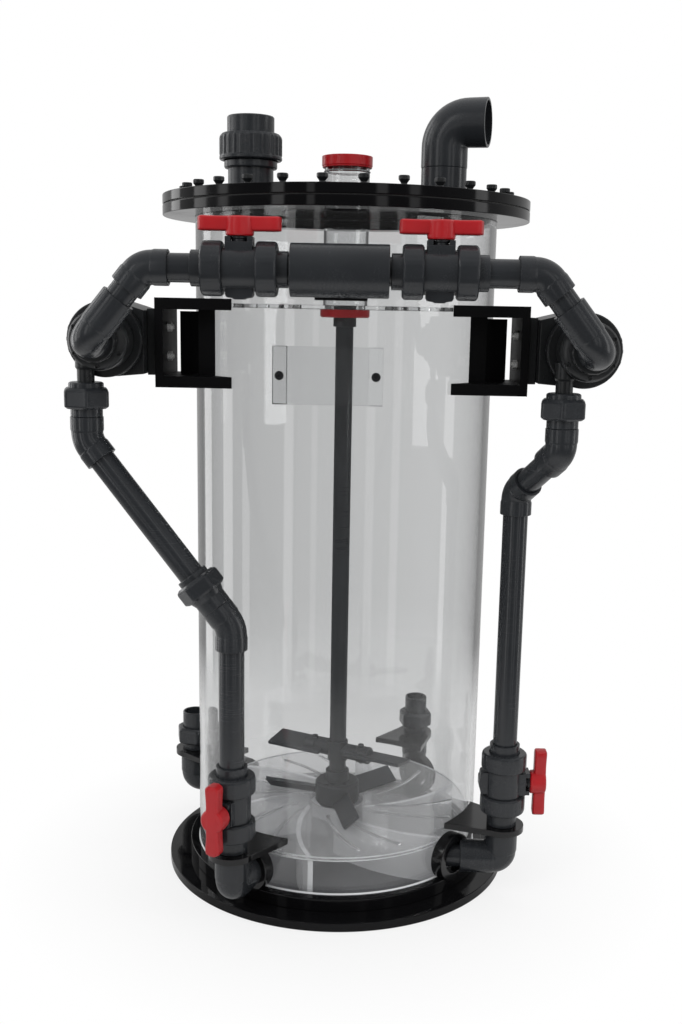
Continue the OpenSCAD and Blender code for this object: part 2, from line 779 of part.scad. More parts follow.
module header_tee() {
    r = tee_od / 2;
    stub_bore = pipe_r + seat_gap;
    color(grey) translate(header_mid) difference() {
        union() {
            rotate([0, 90, 0]) translate([0, 0, -tee_run / 2]) chamfered_disc(r, tee_run, 1.5);
            along([0, 0, 0], back) cylinder(r = r, h = tee_run / 2);
        }
        rotate([0, 90, 0]) {
            cylinder(r = pipe_r - 1, h = tee_run + 2 * cut, center = true);
            for (s = [-1, 1]) translate([0, 0, s * tee_run / 2])
                cylinder(r = stub_bore, h = 2 * socket_depth, center = true);
        }
        along([0, 0, 0], back) {
            cylinder(r = branch_od / 2 - 4, h = tee_run);
            translate([0, 0, tee_run / 2 - socket_depth]) cylinder(r = branch_od / 2 + seat_gap, h = tee_run);
        }
    }
}

// Ends of a valve's union connectors, measured from the valve's middle
union_face = barrel_len / 2 + valve_nut_len;
connector_len = 12;
connector_end = union_face + connector_len;
connector_seat = connector_end - socket_depth + seat_gap;

module header_pipes() {
    color(grey) {
        pipe(header_mid + [0, tee_run / 2 - socket_depth + seat_gap, 0], [0, -tube_ir - 1, header_z],
            branch_od / 2, branch_od / 2 - 4);
        for (s = [-1, 1]) {
            outer = s < 0 ? header_corner[0] : header_corner[1];
            stub_in = header_mid + [s * (tee_run / 2 - socket_depth + seat_gap), 0, 0];
            stub_out = header_mid + [s * (valve_x - connector_seat), 0, 0];
            pipe(stub_in, stub_out);
            pipe(header_mid + [s * (valve_x + connector_seat), 0, 0],
                socket_seat(outer, [-s, 0, 0], half_leg));
        }
        for (i = [0, 1]) {
            run = suction_corner[i] - header_corner[i];
            pipe(socket_seat(header_corner[i], run, half_leg),
                socket_seat(suction_corner[i], -run, elbow_leg));
        }
    }
}

module suction_elbows() {
    color(grey) for (i = [0, 1]) {
        run = suction_corner[i] - header_corner[i];
        elbow(header_corner[i], [i == 0 ? 1 : -1, 0, 0], run, half_leg);
        elbow(suction_corner[i], -run, back, elbow_leg, suction_sleeve);
    }
}

// ---- Ball valves ----

ball_r = ball_d / 2;
way_r = 12.5;
spigot_r = barrel_d / 2 - 0.5;
boss_r = 15.5;
boss_top = handle_rise - 6;
stem_r = 6;
hub_r = 13;

// Barrel with threaded ends, a stem boss and a foot opposite it
module valve_body() {
    half = barrel_len / 2;
    difference() {
        union() {
            translate([0, 0, -half - 8]) cylinder(r = spigot_r, h = barrel_len + 16);
            translate([0, 0, -half]) chamfered_disc(barrel_d / 2, barrel_len, 1);
            rotate([0, 90, 0]) cylinder(r = boss_r, h = boss_top);
            rotate([0, -90, 0]) intersection() {
                cylinder(r = boss_r, h = barrel_d / 2 + 8);
                translate([-boss_r, -boss_r + 3, 0]) cube([2 * boss_r, 2 * boss_r - 6, barrel_d]);
            }
        }
        sphere(r = ball_r + run_gap);
        cylinder(r = way_r, h = 2 * barrel_len, center = true);
        rotate([0, 90, 0]) cylinder(r = stem_r + run_gap, h = 2 * boss_top);
    }
}

// Drilled ball with its stem
module valve_ball() {
    difference() {
        union() {
            sphere(r = ball_r);
            rotate([0, 90, 0]) cylinder(r = stem_r, h = handle_rise + 4);
        }
        cylinder(r = way_r, h = 2 * ball_d, center = true);
    }
}

// Winged bar on a round hub, seated on the stem
module valve_handle() {
    tip_r = 7;
    reach = handle_len / 2 - tip_r;
    difference() {
        union() {
            translate([handle_rise, 0, 0]) rotate([0, 90, 0]) linear_extrude(handle_t) {
                circle(r = hub_r);
                for (s = [-1, 1]) {
                    translate([s * reach, 0]) circle(r = tip_r);
                    polygon([[0, -hub_r + 3], [s * reach, -tip_r], [s * reach, tip_r], [0, hub_r - 3]]);
                }
            }
            translate([boss_top + 0.3, 0, 0]) rotate([0, 90, 0])
                cylinder(r = hub_r, h = handle_rise - boss_top);
        }
        rotate([0, 90, 0]) cylinder(r = stem_r + run_gap, h = handle_rise + 4 + 0.2);
    }
}

// Nut and end connector at one end of a valve
module valve_union() {
    r = valve_nut_od / 2;
    face = barrel_len / 2 + 0.2;
    lip = union_face - 8;
    translate([0, 0, face]) turned([[spigot_r + seat_gap, 0], [r - 2, 0], [r, 2],
        [r, union_face - face - 3], [r - 2, union_face - face],
        [socket_r + seat_gap, union_face - face], [socket_r + seat_gap, lip - face],
        [spigot_r + seat_gap, lip - face]]);
    turned([[way_r, barrel_len / 2 + 8.2], [spigot_r, barrel_len / 2 + 8.2], [spigot_r, lip - 0.2],
        [socket_r, lip - 0.2], [socket_r, connector_end], [socket_bore_r, connector_end],
        [socket_bore_r, connector_end - socket_depth], [way_r, connector_end - socket_depth]]);
}

valve_mids = [header_mid - [valve_x, 0, 0], header_mid + [valve_x, 0, 0],
    port_point(left_port, lower_valve_z), port_point(right_port, lower_valve_z)];
valve_axes = [[1, 0, 0], [1, 0, 0], up, up];
valve_stems = [up, up, plan(left_stem_turn), [1, 0, 0]];

module at_valve(i) {
    valve_frame(valve_mids[i], valve_axes[i], valve_stems[i]) children();
}

module valve_unions() {
    color(grey) for (i = [0 : 3]) at_valve(i) for (s = [0, 180]) rotate([s, 0, 0]) valve_union();
}

module left_header_valve_body() { color(grey) at_valve(0) valve_body(); }
module left_header_valve_ball() { color("#4a4d50") at_valve(0) valve_ball(); }
module left_header_valve_handle() { color(red) at_valve(0) valve_handle(); }
module right_header_valve_body() { color(grey) at_valve(1) valve_body(); }
module right_header_valve_ball() { color("#4a4d50") at_valve(1) valve_ball(); }
module right_header_valve_handle() { color(red) at_valve(1) valve_handle(); }
module left_lower_valve_body() { color(grey) at_valve(2) valve_body(); }
module left_lower_valve_ball() { color("#4a4d50") at_valve(2) valve_ball(); }
module left_lower_valve_handle() { color(red) at_valve(2) valve_handle(); }
module right_lower_valve_body() { color(grey) at_valve(3) valve_body(); }
module right_lower_valve_ball() { color("#4a4d50") at_valve(3) valve_ball(); }
module right_lower_valve_handle() { color(red) at_valve(3) valve_handle(); }

// ---- Pumps ----

inlet_nut_r = 25.5;
ring_h = 16;
cavity_r = impeller_r + 4;
cavity_depth = 34;
bush_r = 5;
rotor_r = 18;
rotor_len = 46;
inlet_len = inlet_gap;

// Local frame of a pump: Z runs back along its axis from the volute's front face
module at_pump(i) {
    translate([pump_axis_x[i], -volute_y, pump_axis_z[i]]) rotate([-90, 0, 0]) children();
}

// Wet end: volute with front inlet, tangential spout, rear clamp ring and a bushed rear wall
module pump_housing(offset) {
    wall = (volute_depth - cavity_depth) / 2;
    spout_len = volute_r + 5;
    front_r = cavity_r + 3;
    difference() {
        union() {
            turned([[0, 0], [front_r - 7, 0], [front_r, 5], [front_r, volute_depth - ring_h],
                [volute_r, volute_depth - ring_h], [volute_r, volute_depth], [0, volute_depth]]);
            translate([0, 0, -inlet_len + 0.3]) turned([[0, seat_gap - socket_depth],
                [pipe_r, seat_gap - socket_depth], [pipe_r, 0], [inlet_nut_r - 2, 0], [inlet_nut_r, 2],
                [inlet_nut_r, inlet_len * 0.75], [inlet_nut_r - 6, inlet_len], [0, inlet_len]]);
            translate([-offset, 0, volute_depth / 2]) rotate([-90, 0, 0])
                cylinder(r = spout_od / 2, h = spout_len);
        }
        translate([0, 0, wall]) cylinder(r = cavity_r, h = cavity_depth);
        translate([0, 0, -inlet_len - socket_depth - cut])
            cylinder(r = pipe_ir, h = inlet_len + socket_depth + wall + 2 * cut);
        translate([-offset, 0, volute_depth / 2]) rotate([-90, 0, 0])
            cylinder(r = spout_od / 2 - 3, h = spout_len + cut);
        translate([0, 0, wall]) cylinder(r = bush_r + run_gap, h = volute_depth);
    }
}

// Motor can with a rotor chamber, cooling ribs and a foot that reaches out to the bracket
module pump_motor(side, reach) {
    z0 = volute_depth + 0.2;
    foot_z = volute_y - bracket_front;
    foot_len = bracket_depth - 30;
    pad_h = 82;
    pad_t = 10;
    neck_h = 74;
    sag = (bolt_rows[0] + bolt_rows[1]) / 2;
    difference() {
        union() {
            translate([0, 0, z0]) turned([[0, 0], [motor_r, 0], [motor_r, motor_len - 6],
                [motor_r - 6, motor_len], [0, motor_len]]);
            for (k = [0 : floor((motor_len - 20) / 14) - 1]) translate([0, 0, z0 + 12 + 14 * k])
                cylinder(r = motor_r + 2.5, h = 5);
            translate([0, 0, foot_z + 5]) linear_extrude(foot_len) {
                polygon([[0, -motor_r], [0, motor_r], [side * (reach - pad_t), neck_h / 2 + sag],
                    [side * (reach - pad_t), -neck_h / 2 + sag]]);
                translate([side > 0 ? reach - pad_t : -reach, sag - pad_h / 2]) square([pad_t, pad_h]);
            }
        }
        translate([0, 0, z0 - cut]) cylinder(r = rotor_r + 1.5, h = rotor_len + 6);
        mount_bolt_sites() translate([side * (reach - 18), 0, 0]) rotate([0, side * 90, 0])
            cylinder(r = 3.3, h = 40, $fn = 24);
    }
}

// Bolts sit in one upright row at each foot; rows are measured down from the pump's axis
bolt_rows = [-15, 21.6];
bolt_depth = bracket_back + 38;

module mount_bolt_sites() {
    for (v = bolt_rows) translate([0, v, bolt_depth]) children();
}

// Shrouded impeller with curved vanes, its shaft and the magnet rotor
module pump_impeller() {
    wall = (volute_depth - cavity_depth) / 2;
    shroud = 3;
    vane_h = 16;
    translate([0, 0, wall + 4]) {
        linear_extrude(vane_h + 0.5) for (k = [0 : 5]) rotate(60 * k) intersection() {
            difference() {
                translate([18, 0]) circle(r = 19.5);
                translate([18, 0]) circle(r = 17.5);
            }
            difference() {
                circle(r = impeller_r - 1);
                circle(r = 9);
            }
            square(impeller_r);
        }
        translate([0, 0, vane_h]) cylinder(r = impeller_r, h = shroud);
        cylinder(r = 10, h = vane_h + shroud);
        cylinder(r = bush_r, h = volute_depth - wall - 4 + 6);
    }
    translate([0, 0, volute_depth + 3]) chamfered_disc(rotor_r, rotor_len, 1);
}

pump_reach = [pump_left - mount_x - mount_t - 0.2, pump_right - mount_x - mount_t - 0.2];

module left_pump_housing() { color(black) at_pump(0) pump_housing(left_outlet_offset); }
module left_pump_motor() { color(black) at_pump(0) pump_motor(1, pump_reach[0]); }
module left_pump_impeller() { color("#8a8d90") at_pump(0) pump_impeller(); }
module right_pump_housing() { color(black) at_pump(1) pump_housing(right_outlet_offset); }
module right_pump_motor() { color(black) at_pump(1) pump_motor(-1, pump_reach[1]); }
module right_pump_impeller() { color("#8a8d90") at_pump(1) pump_impeller(); }

// ---- Brackets ----

web_t = 10;
tip_x = sqrt(pow(tube_r, 2) - pow(bracket_front, 2)) + 4.7;
front_web_y = bracket_front - 31;
front_web_x = mount_x - 40;
back_web_y = bracket_rear + 37;
back_web_x = mount_x - 10;

// Welded sheet bracket on the right-hand side: two shelves, two webs and the mounting plate.
// The rear web stops short of the upper shelf.
module bracket() {
    web_h = bracket_h - 2 * bracket_t;
    difference() {
        union() {
            for (z = [bracket_z, bracket_z + bracket_h - bracket_t])
                translate([tip_x, -bracket_front, z]) cube([mount_x - tip_x, bracket_depth, bracket_t]);
            translate([mount_x, -bracket_front, bracket_z]) cube([mount_t, bracket_depth, bracket_h]);
            translate([tip_x, -front_web_y, bracket_z + bracket_t])
                cube([front_web_x - tip_x, web_t, web_h]);
            translate([tip_x, -back_web_y, bracket_z + bracket_t])
                cube([back_web_x - tip_x, web_t, web_h - 2.5]);
        }
        cylinder(r = tube_r + seat_gap, h = flange_z, $fn = 180);
        for (v = bolt_rows) translate([mount_x - cut, bolt_depth - volute_y, pump_z - v])
            rotate([0, 90, 0]) cylinder(r = 3.3, h = mount_t + 2 * cut, $fn = 24);
    }
}

module left_bracket() { color(black) mirror([1, 0, 0]) bracket(); }
module right_bracket() { color(black) translate([0, 0, -right_drop]) bracket(); }

// Studs through the mounting plates into the pump feet, with a nut on the inner side
module bracket_bolts() {
    color(steel) for (s = [0, 1]) mirror([s, 0, 0]) for (v = bolt_rows)
        translate([mount_x, bolt_depth - volute_y, pump_z - v - (1 - s) * right_drop])
            rotate([0, -90, 0]) {
                cylinder(r = 6, h = 5.5, $fn = 6);
                translate([0, 0, -mount_t - 16]) cylinder(r = 3, h = mount_t + 24, $fn = 24);
            }
}

// ---- Discharge lines ----

nozzle_z = [for (z = pump_axis_z) z - volute_r - 5];

// Keeps of a turned nut what lies inside six flats with eased corners
module six_sided(r, h, turn = 0) {
    intersection() {
        children();
        rotate(turn) cylinder(r = r * 1.03, h = h, $fn = 6);
    }
}

// Tail, nut and body of a pump union; its body runs down to the given height
module pump_union(p, nozzle_z, bottom_z, nut_turn) {
    r = union_nut_od / 2;
    tail_r = 21;
    nut_top = nozzle_z - 6;
    h = union_nut_h;
    translate([p.x, p.y, 0]) {
        turned([[spout_od / 2 + seat_gap, nozzle_z + 1], [tail_r - 1, nozzle_z + 1],
            [tail_r, nozzle_z], [tail_r, nut_top - 8], [23, nut_top - 8], [23, nut_top - 14],
            [pipe_ir - 2.6, nut_top - 14], [pipe_ir - 2.6, nozzle_z - 0.2],
            [spout_od / 2 + seat_gap, nozzle_z - 0.2]]);
        translate([0, 0, nut_top - h]) six_sided(r, h, nut_turn) turned([[23 + seat_gap, 0],
            [r - 3, 0], [r, 3], [r, h - 5], [r - 4.5, h], [tail_r + seat_gap, h],
            [tail_r + seat_gap, h - 7.8], [23 + seat_gap, h - 7.8]]);
        turned([[pipe_ir, nut_top - 14.2], [23, nut_top - 14.2], [23, nut_top - h - 1],
            [socket_r - 1, nut_top - h - 1], [socket_r - 1, bottom_z + 0.2], [socket_bore_r, bottom_z + 0.2],
            [socket_bore_r, bottom_z + 10], [pipe_ir, bottom_z + 10]]);
    }
}

// Union across a sloping run: two sockets with a nut between them
module line_union(p, v) {
    r = union_nut_od / 2;
    along(p, v) {
        turned([[socket_bore_r, -26], [socket_r - 1, -26], [socket_r, -25], [socket_r, -12],
            [socket_r - 1 + 3.5, -12], [23.5, -2], [23.5, -0.1], [pipe_ir, -0.1], [pipe_ir, -8],
            [socket_bore_r, -8]]);
        turned([[pipe_ir, 0.1], [23.5, 0.1], [23.5, 8], [socket_r, 8], [socket_r, 25],
            [socket_r - 1, 26], [socket_bore_r, 26], [socket_bore_r, 8], [pipe_ir, 8]]);
        translate([0, 0, -2]) six_sided(r, 20) turned([[23.5 + seat_gap, 0], [r - 3, 0], [r, 3],
            [r, 16], [r - 4, 20], [socket_r + seat_gap, 20], [socket_r + seat_gap, 10 + seat_gap],
            [23.5 + seat_gap, 10 + seat_gap]]);
    }
}

run_dir = [for (i = [0, 1]) unit(lower_corner[i] - upper_corner[i])];
mid_union = lower_corner[0] - (half_leg + 26) * run_dir[0];

module discharge_fittings(i) {
    pump_union(upper_corner[i], nozzle_z[i], upper_corner[i].z + half_leg, i == 0 ? 14 : -9);
    elbow(upper_corner[i], up, run_dir[i], half_leg);
    elbow(lower_corner[i], -run_dir[i], down, half_leg);
}

module left_discharge_fittings() {
    color(grey) {
        discharge_fittings(0);
        line_union(mid_union, -run_dir[0]);
    }
}

module right_discharge_fittings() {
    color(grey) discharge_fittings(1);
}

// Straight pipes of both discharge lines and of the four bottom ports
module lower_pipes() {
    valve_top = lower_valve_z + connector_seat;
    valve_foot = lower_valve_z - connector_seat;
    color(grey) {
        for (i = [0, 1]) {
            port = i == 0 ? left_port : right_port;
            top_z = upper_corner[i].z + half_leg;
            pipe([upper_corner[i].x, upper_corner[i].y, top_z - socket_depth + seat_gap],
                [upper_corner[i].x, upper_corner[i].y, top_z + 10 - seat_gap]);
            pipe(socket_seat(lower_corner[i], down, half_leg), port_point(port, valve_top));
            pipe(port_point(port, valve_foot), port_point(port, port_z + elbow_leg - socket_depth + seat_gap));
        }
        pipe(socket_seat(upper_corner[0], run_dir[0], half_leg), mid_union - (8 + seat_gap) * run_dir[0]);
        pipe(mid_union + (8 + seat_gap) * run_dir[0], socket_seat(lower_corner[0], -run_dir[0], half_leg));
        pipe(socket_seat(upper_corner[1], run_dir[1], half_leg),
            socket_seat(lower_corner[1], -run_dir[1], half_leg));
        for (i = [2, 3]) pipe(port_point(i, port_z + elbow_leg - socket_depth + seat_gap),
            port_point(i, rear_foot_z + socket_depth - seat_gap));
        for (i = [0 : 3]) pipe(port_in(i), port_point(i, port_z) - (elbow_leg - socket_depth + seat_gap)
            * plan(port_turns[i]));
    }
}

function port_in(i) = (tube_ir + 1) * plan(port_turns[i]) + [0, 0, port_z];

// ---- Bottom ports ----

module port_elbows() {
    color(grey) for (i = [0 : 3]) elbow(port_point(i, port_z), up, -plan(port_turns[i]), elbow_leg);
}

// Saddle rings welded to the tube, cut flat where they meet the collar ring
module port_rings() {
    reach = tube_r + collar_w;
    color(black) difference() {
        for (turn = port_turns) rotate(turn) translate([tube_ir, 0, port_z]) rotate([0, 90, 0])
            difference() {
                cylinder(r = ring_od / 2, h = reach - tube_ir);
                translate([0, 0, -cut]) cylinder(r = pipe_r + seat_gap, h = reach);
            }
        cylinder(r = tube_r + seat_gap, h = flange_z, $fn = 180);
        cylinder(r = plate_r, h = base_t + collar_h);
    }
}

// Horizontal plates from the tube out to a round eye over each port's elbow
module gusset_plates() {
    eye_r = 30;
    color(black) translate([0, 0, gusset_z]) linear_extrude(gusset_t) difference() {
        for (turn = port_turns) rotate(turn) {
            translate([port_r, 0]) circle(r = eye_r);
            polygon([
                [tube_r * cos(gusset_half_angle) - 4, -tube_r * sin(gusset_half_angle)],
                [port_r, -eye_r], [port_r, eye_r],
                [tube_r * cos(gusset_half_angle) - 4, tube_r * sin(gusset_half_angle)]]);
        }
        circle(r = tube_r + seat_gap, $fn = 180);
        for (turn = port_turns) rotate(turn) translate([port_r, 0]) circle(r = pipe_r + seat_gap);
    }
}

rear_foot_z = gusset_z + gusset_t;

// Unions that end in open sockets at the rear ports
module rear_unions() {
    r = union_nut_od / 2;
    nut_z = rear_foot_z + 11;
    h = union_nut_h;
    color(grey) for (i = [2, 3]) translate(port_point(i, 0)) {
        turned([[socket_bore_r, rear_foot_z], [socket_r, rear_foot_z], [socket_r, nut_z + 2],
            [23, nut_z + 2], [23, nut_z + 12], [pipe_ir, nut_z + 12], [pipe_ir, rear_foot_z + socket_depth],
            [socket_bore_r, rear_foot_z + socket_depth]]);
        turned([[pipe_ir, nut_z + 12.2], [23, nut_z + 12.2], [23, nut_z + 17], [socket_r - 1, nut_z + 17],
            [socket_r - 1, rear_mouth_z - 1], [socket_r - 2, rear_mouth_z], [socket_bore_r, rear_mouth_z],
            [socket_bore_r, rear_mouth_z - socket_depth], [pipe_ir, rear_mouth_z - socket_depth]]);
        translate([0, 0, nut_z]) six_sided(r, h) turned([[23 + seat_gap, 0], [r - 3, 0], [r, 3],
            [r, h - 5], [r - 4, h], [socket_r - 1 + seat_gap, h], [socket_r - 1 + seat_gap, 17 + seat_gap],
            [23 + seat_gap, 17 + seat_gap]]);
    }
}

// ---- Nodes ----

base_plate();
base_ring();
vessel_tube();
top_flange();
lid_gasket();
lid();
lid_thumbscrews();
bearing_plate();
neck_tube();
neck_cap();
bearing_collar();
stirrer_shaft();
upper_hub();
upper_blades();
lower_hub();
lower_blades();
blade_screws();
false_floor();
plenum_vanes();
nameplate();
nameplate_strips();
nameplate_screws();
outlet_pipe();
outlet_union_body();
outlet_union_nut();
vent_pipe();
vent_elbow();
header_saddle();
header_tee();
header_pipes();
left_header_valve_body();
left_header_valve_ball();
left_header_valve_handle();
right_header_valve_body();
right_header_valve_ball();
right_header_valve_handle();
left_lower_valve_body();
left_lower_valve_ball();
left_lower_valve_handle();
right_lower_valve_body();
right_lower_valve_ball();
right_lower_valve_handle();
valve_unions();
suction_elbows();
left_pump_housing();
left_pump_motor();
left_pump_impeller();
right_pump_housing();
right_pump_motor();
right_pump_impeller();
left_bracket();
right_bracket();
bracket_bolts();
left_discharge_fittings();
right_discharge_fittings();
lower_pipes();
port_elbows();
port_rings();
gusset_plates();
rear_unions();
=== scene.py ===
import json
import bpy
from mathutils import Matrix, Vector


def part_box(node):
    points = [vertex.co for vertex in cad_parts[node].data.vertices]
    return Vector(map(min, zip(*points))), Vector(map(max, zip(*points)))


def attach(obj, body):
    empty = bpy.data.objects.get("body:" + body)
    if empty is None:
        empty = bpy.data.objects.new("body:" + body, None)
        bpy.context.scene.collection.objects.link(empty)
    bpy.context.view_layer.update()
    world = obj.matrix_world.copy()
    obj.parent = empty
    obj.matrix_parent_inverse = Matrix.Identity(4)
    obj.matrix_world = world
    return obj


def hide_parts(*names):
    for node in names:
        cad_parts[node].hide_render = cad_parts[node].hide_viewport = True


bl_info = {
    "name": "Bench Bioreactor",
    "version": (1, 0, 0),
    "blender": (4, 5, 0),
    "location": "View3D > Sidebar > Bioreactor",
    "description": "Dresses the bench bioreactor with detailed fittings, finishes and a studio",
    "category": "Add Mesh",
}

from math import acos, cos, degrees, pi, radians, sin, tan
from types import SimpleNamespace

import bmesh
import bpy
from bpy.props import FloatProperty, FloatVectorProperty, PointerProperty
from mathutils import Matrix, Vector

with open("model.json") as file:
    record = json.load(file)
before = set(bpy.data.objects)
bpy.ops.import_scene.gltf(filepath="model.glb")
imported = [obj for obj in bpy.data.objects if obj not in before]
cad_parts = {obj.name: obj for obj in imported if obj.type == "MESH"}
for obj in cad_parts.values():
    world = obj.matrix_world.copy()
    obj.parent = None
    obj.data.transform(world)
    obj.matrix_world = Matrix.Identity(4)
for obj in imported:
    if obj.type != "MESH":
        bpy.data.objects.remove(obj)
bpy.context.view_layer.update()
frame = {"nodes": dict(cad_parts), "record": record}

MM = 0.001
UP, DOWN = Vector((0, 0, 1)), Vector((0, 0, -1))
RIGHT, BACK = Vector((1, 0, 0)), Vector((0, 1, 0))
# Edges that turn by more than this stay sharp
SHARP = radians(42)
# Steps round a pipe or a socket of the pipework, and along a bend
ROUND, BEND = 56, 16
# Gap that shows between a pipe and the mouth of its socket
PIPE_FIT = 0.35
# How far from its corner or middle a pipe starts: half elbow, right-angled elbow, valve
IN_HALF, IN_QUARTER, IN_VALVE = 12, 22, 38
# Angle in plan by which each bottom port enters beside the column's axis: front right, front left,
# rear left, rear right
PORT_SLANTS = (28, 10, 28, 28)
FRONT_PORTS, REAR_PORTS = (0, 1), (2, 3)
# The ports' elbows: leg, longer level leg, tighter bend and wider sockets
PORT_ELBOW = {"leg": 40, "sleeve": 15, "tight": 12, "radius": 22.2}


# ---- Sizes and colours that a user may change ----


def length(label, about, default):
    return FloatProperty(name=label, description=about, default=default, min=0.0, precision=4,
                         unit="LENGTH", subtype="DISTANCE")


def colour(label, about, default):
    return FloatVectorProperty(name=label, description=about, default=default, size=3, min=0.0,
                               max=1.0, subtype="COLOR")


class ColumnSizes(bpy.types.PropertyGroup):
    """Sizes of the column, its plates and what stands on the lid"""

    tube: length("Tube radius", "Outside radius of the clear tube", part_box("vessel_tube")[1].x)
    wall: length("Tube wall", "Wall of the clear tube", 0.008)
    screw_circle: length("Screw circle", "Radius of the circle of thumbscrews", 0.214)
    neck: length("Neck radius", "Outside radius of the clear neck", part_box("neck_tube")[1].x)
    fitting: length("Fitting offset", "Distance of the lid fittings from the middle", 0.128)
    shaft: length("Shaft radius", "Radius of the stirrer's shaft", 0.012)


class PipeSizes(bpy.types.PropertyGroup):
    """Sizes and places of the pipes, valves and pumps"""

    pipe: length("Pipe radius", "Outside radius of the pipes", 0.016)
    socket: length("Socket radius", "Outside radius of the sockets", 0.020)
    quarter_leg: length("Elbow leg", "Leg of a right-angled elbow", 0.039)
    half_leg: length("Half elbow leg", "Leg of a half elbow", 0.029)
    depth: length("Socket depth", "Depth of a socket", 0.018)
    header_front: length("Header distance", "Distance of the header in front of the axis", 0.290)
    header_height: length("Header height", "Height of the header's axis", 0.828)
    valve: length("Header valves", "Distance of the header valves from the middle", 0.111)
    bend_left: length("Left bend", "Distance of the left header bend from the middle", 0.219)
    bend_right: length("Right bend", "Distance of the right header bend from the middle", 0.227)
    pump_left: length("Left pump", "Distance of the left pump from the middle", 0.286)
    pump_right: length("Right pump", "Distance of the right pump from the middle", 0.294)
    pump_height: length("Pump height", "Height of the pumps' axes", 0.745)
    volute: length("Volute distance", "Distance of the pumps' fronts from the axis", 0.232)
    right_drop: length("Right drop", "Height by which the right pump sits below the left", 0.0025)
    spout_left: length("Left spout", "Sideways offset of the left pump's spout", 0.020)
    spout_right: length("Right spout", "Sideways offset of the right pump's spout", 0.025)
    sleeve: length("Suction sleeve", "Extra length of a suction elbow's sleeve", 0.024)
    nut: length("Union nut", "Radius over the corners of the union nuts", 0.02925)
    port: length("Port radius", "Distance of the ports' upright pipes from the axis", 0.261)
    port_height: length("Port height", "Height of the ports' axes", 0.055)
    lower_valve: length("Lower valves", "Height of the lower valves", 0.165)


class FinishColours(bpy.types.PropertyGroup):
    """Colours of the finishes"""

    pipe_grey: colour("Pipe grey", "Dark grey of the pipes and fittings", (0.021, 0.023, 0.026))
    shaft_grey: colour("Shaft grey", "Grey of the stirrer", (0.034, 0.036, 0.039))
    plate_black: colour("Plate black", "Black of the sheet plates", (0.004, 0.004, 0.0045))
    pump_black: colour("Pump black", "Black of the pumps and screws", (0.010, 0.011, 0.012))
    lever_red: colour("Lever red", "Red of the levers and the cap", (0.38, 0.008, 0.012))
    sheet_clear: colour("Clear sheet", "Tint of the clear sheet and tube", (0.925, 0.93, 0.932))


SIZE_GROUPS = {
    "column_sizes": ColumnSizes,
    "pipe_sizes": PipeSizes,
    "finish_colours": FinishColours,
}


def in_mm(name):
    """The lengths of a property group, in millimetres."""
    group = getattr(bpy.context.scene, name)
    return SimpleNamespace(**{key: getattr(group, key) / MM for key in group.__annotations__})


def span_of(node):
    """Heights of a CAD node's underside and top, in millimetres."""
    return tuple(corner.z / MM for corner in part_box(node))


def bottom_of(node):
    return span_of(node)[0]


def top_of(node):
    return span_of(node)[1]


def reach_of(node):
    """How far a CAD node reaches along X, in millimetres: the radius of a round one on the axis."""
    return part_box(node)[1].x / MM


# ---- Building meshes, in millimetres ----


def axes(point, x, y, z):
    """Matrix with its origin at point and its axes along three directions."""
    place = Matrix((x, y, z)).transposed().to_4x4()
    place.translation = Vector(point)
    return place


def along(point, direction):
    """Matrix that puts local Z along direction, with the origin at point."""
    z = Vector(direction).normalized()
    x = (RIGHT if abs(z.z) > 0.9 else UP).cross(z).normalized()
    return axes(point, x, z.cross(x), z)


def around(angle, axis="Z"):
    """Turn about a local axis, in degrees."""
    return Matrix.Rotation(radians(angle), 4, axis)


def plan(angle):
    """Level direction at a bearing in degrees."""
    return Vector((cos(radians(angle)), sin(radians(angle)), 0))


def circle(steps):
    """Cosine and sine of evenly spaced angles of one turn."""
    return [(cos(2 * pi * k / steps), sin(2 * pi * k / steps)) for k in range(steps)]


def weighted(outline):
    """The outline's points as (radius, height, weight), with no weight where none is given."""
    return [(*p, 0.0)[:3] for p in outline]


def rounded(outline, radius):
    """The outline of (radius, height, weight) points with its corners rounded off."""
    points = [Vector(p) for p in weighted(outline)]
    out = []
    for i, p in enumerate(points):
        a, b = points[i - 1] - p, points[(i + 1) % len(points)] - p
        la, lb = a.xy.length, b.xy.length
        turn = pi - a.xy.angle(b.xy, pi) if la and lb else 0.0
        cut = min(radius * tan(turn / 2) if turn < 3 else 0.0, 0.42 * la, 0.42 * lb)
        if turn < radians(18) or cut < 0.04 or p.x < 0.01:
            out.append(p)
            continue
        a, b = p + a * (cut / la), p + b * (cut / lb)
        out += [a * (1 - t) ** 2 + p * 2 * t * (1 - t) + b * t * t for t in (0, 0.34, 0.67, 1)]
    return out


# Material slot of the record that each finish of a dressed piece stands for
FINISHES = {}


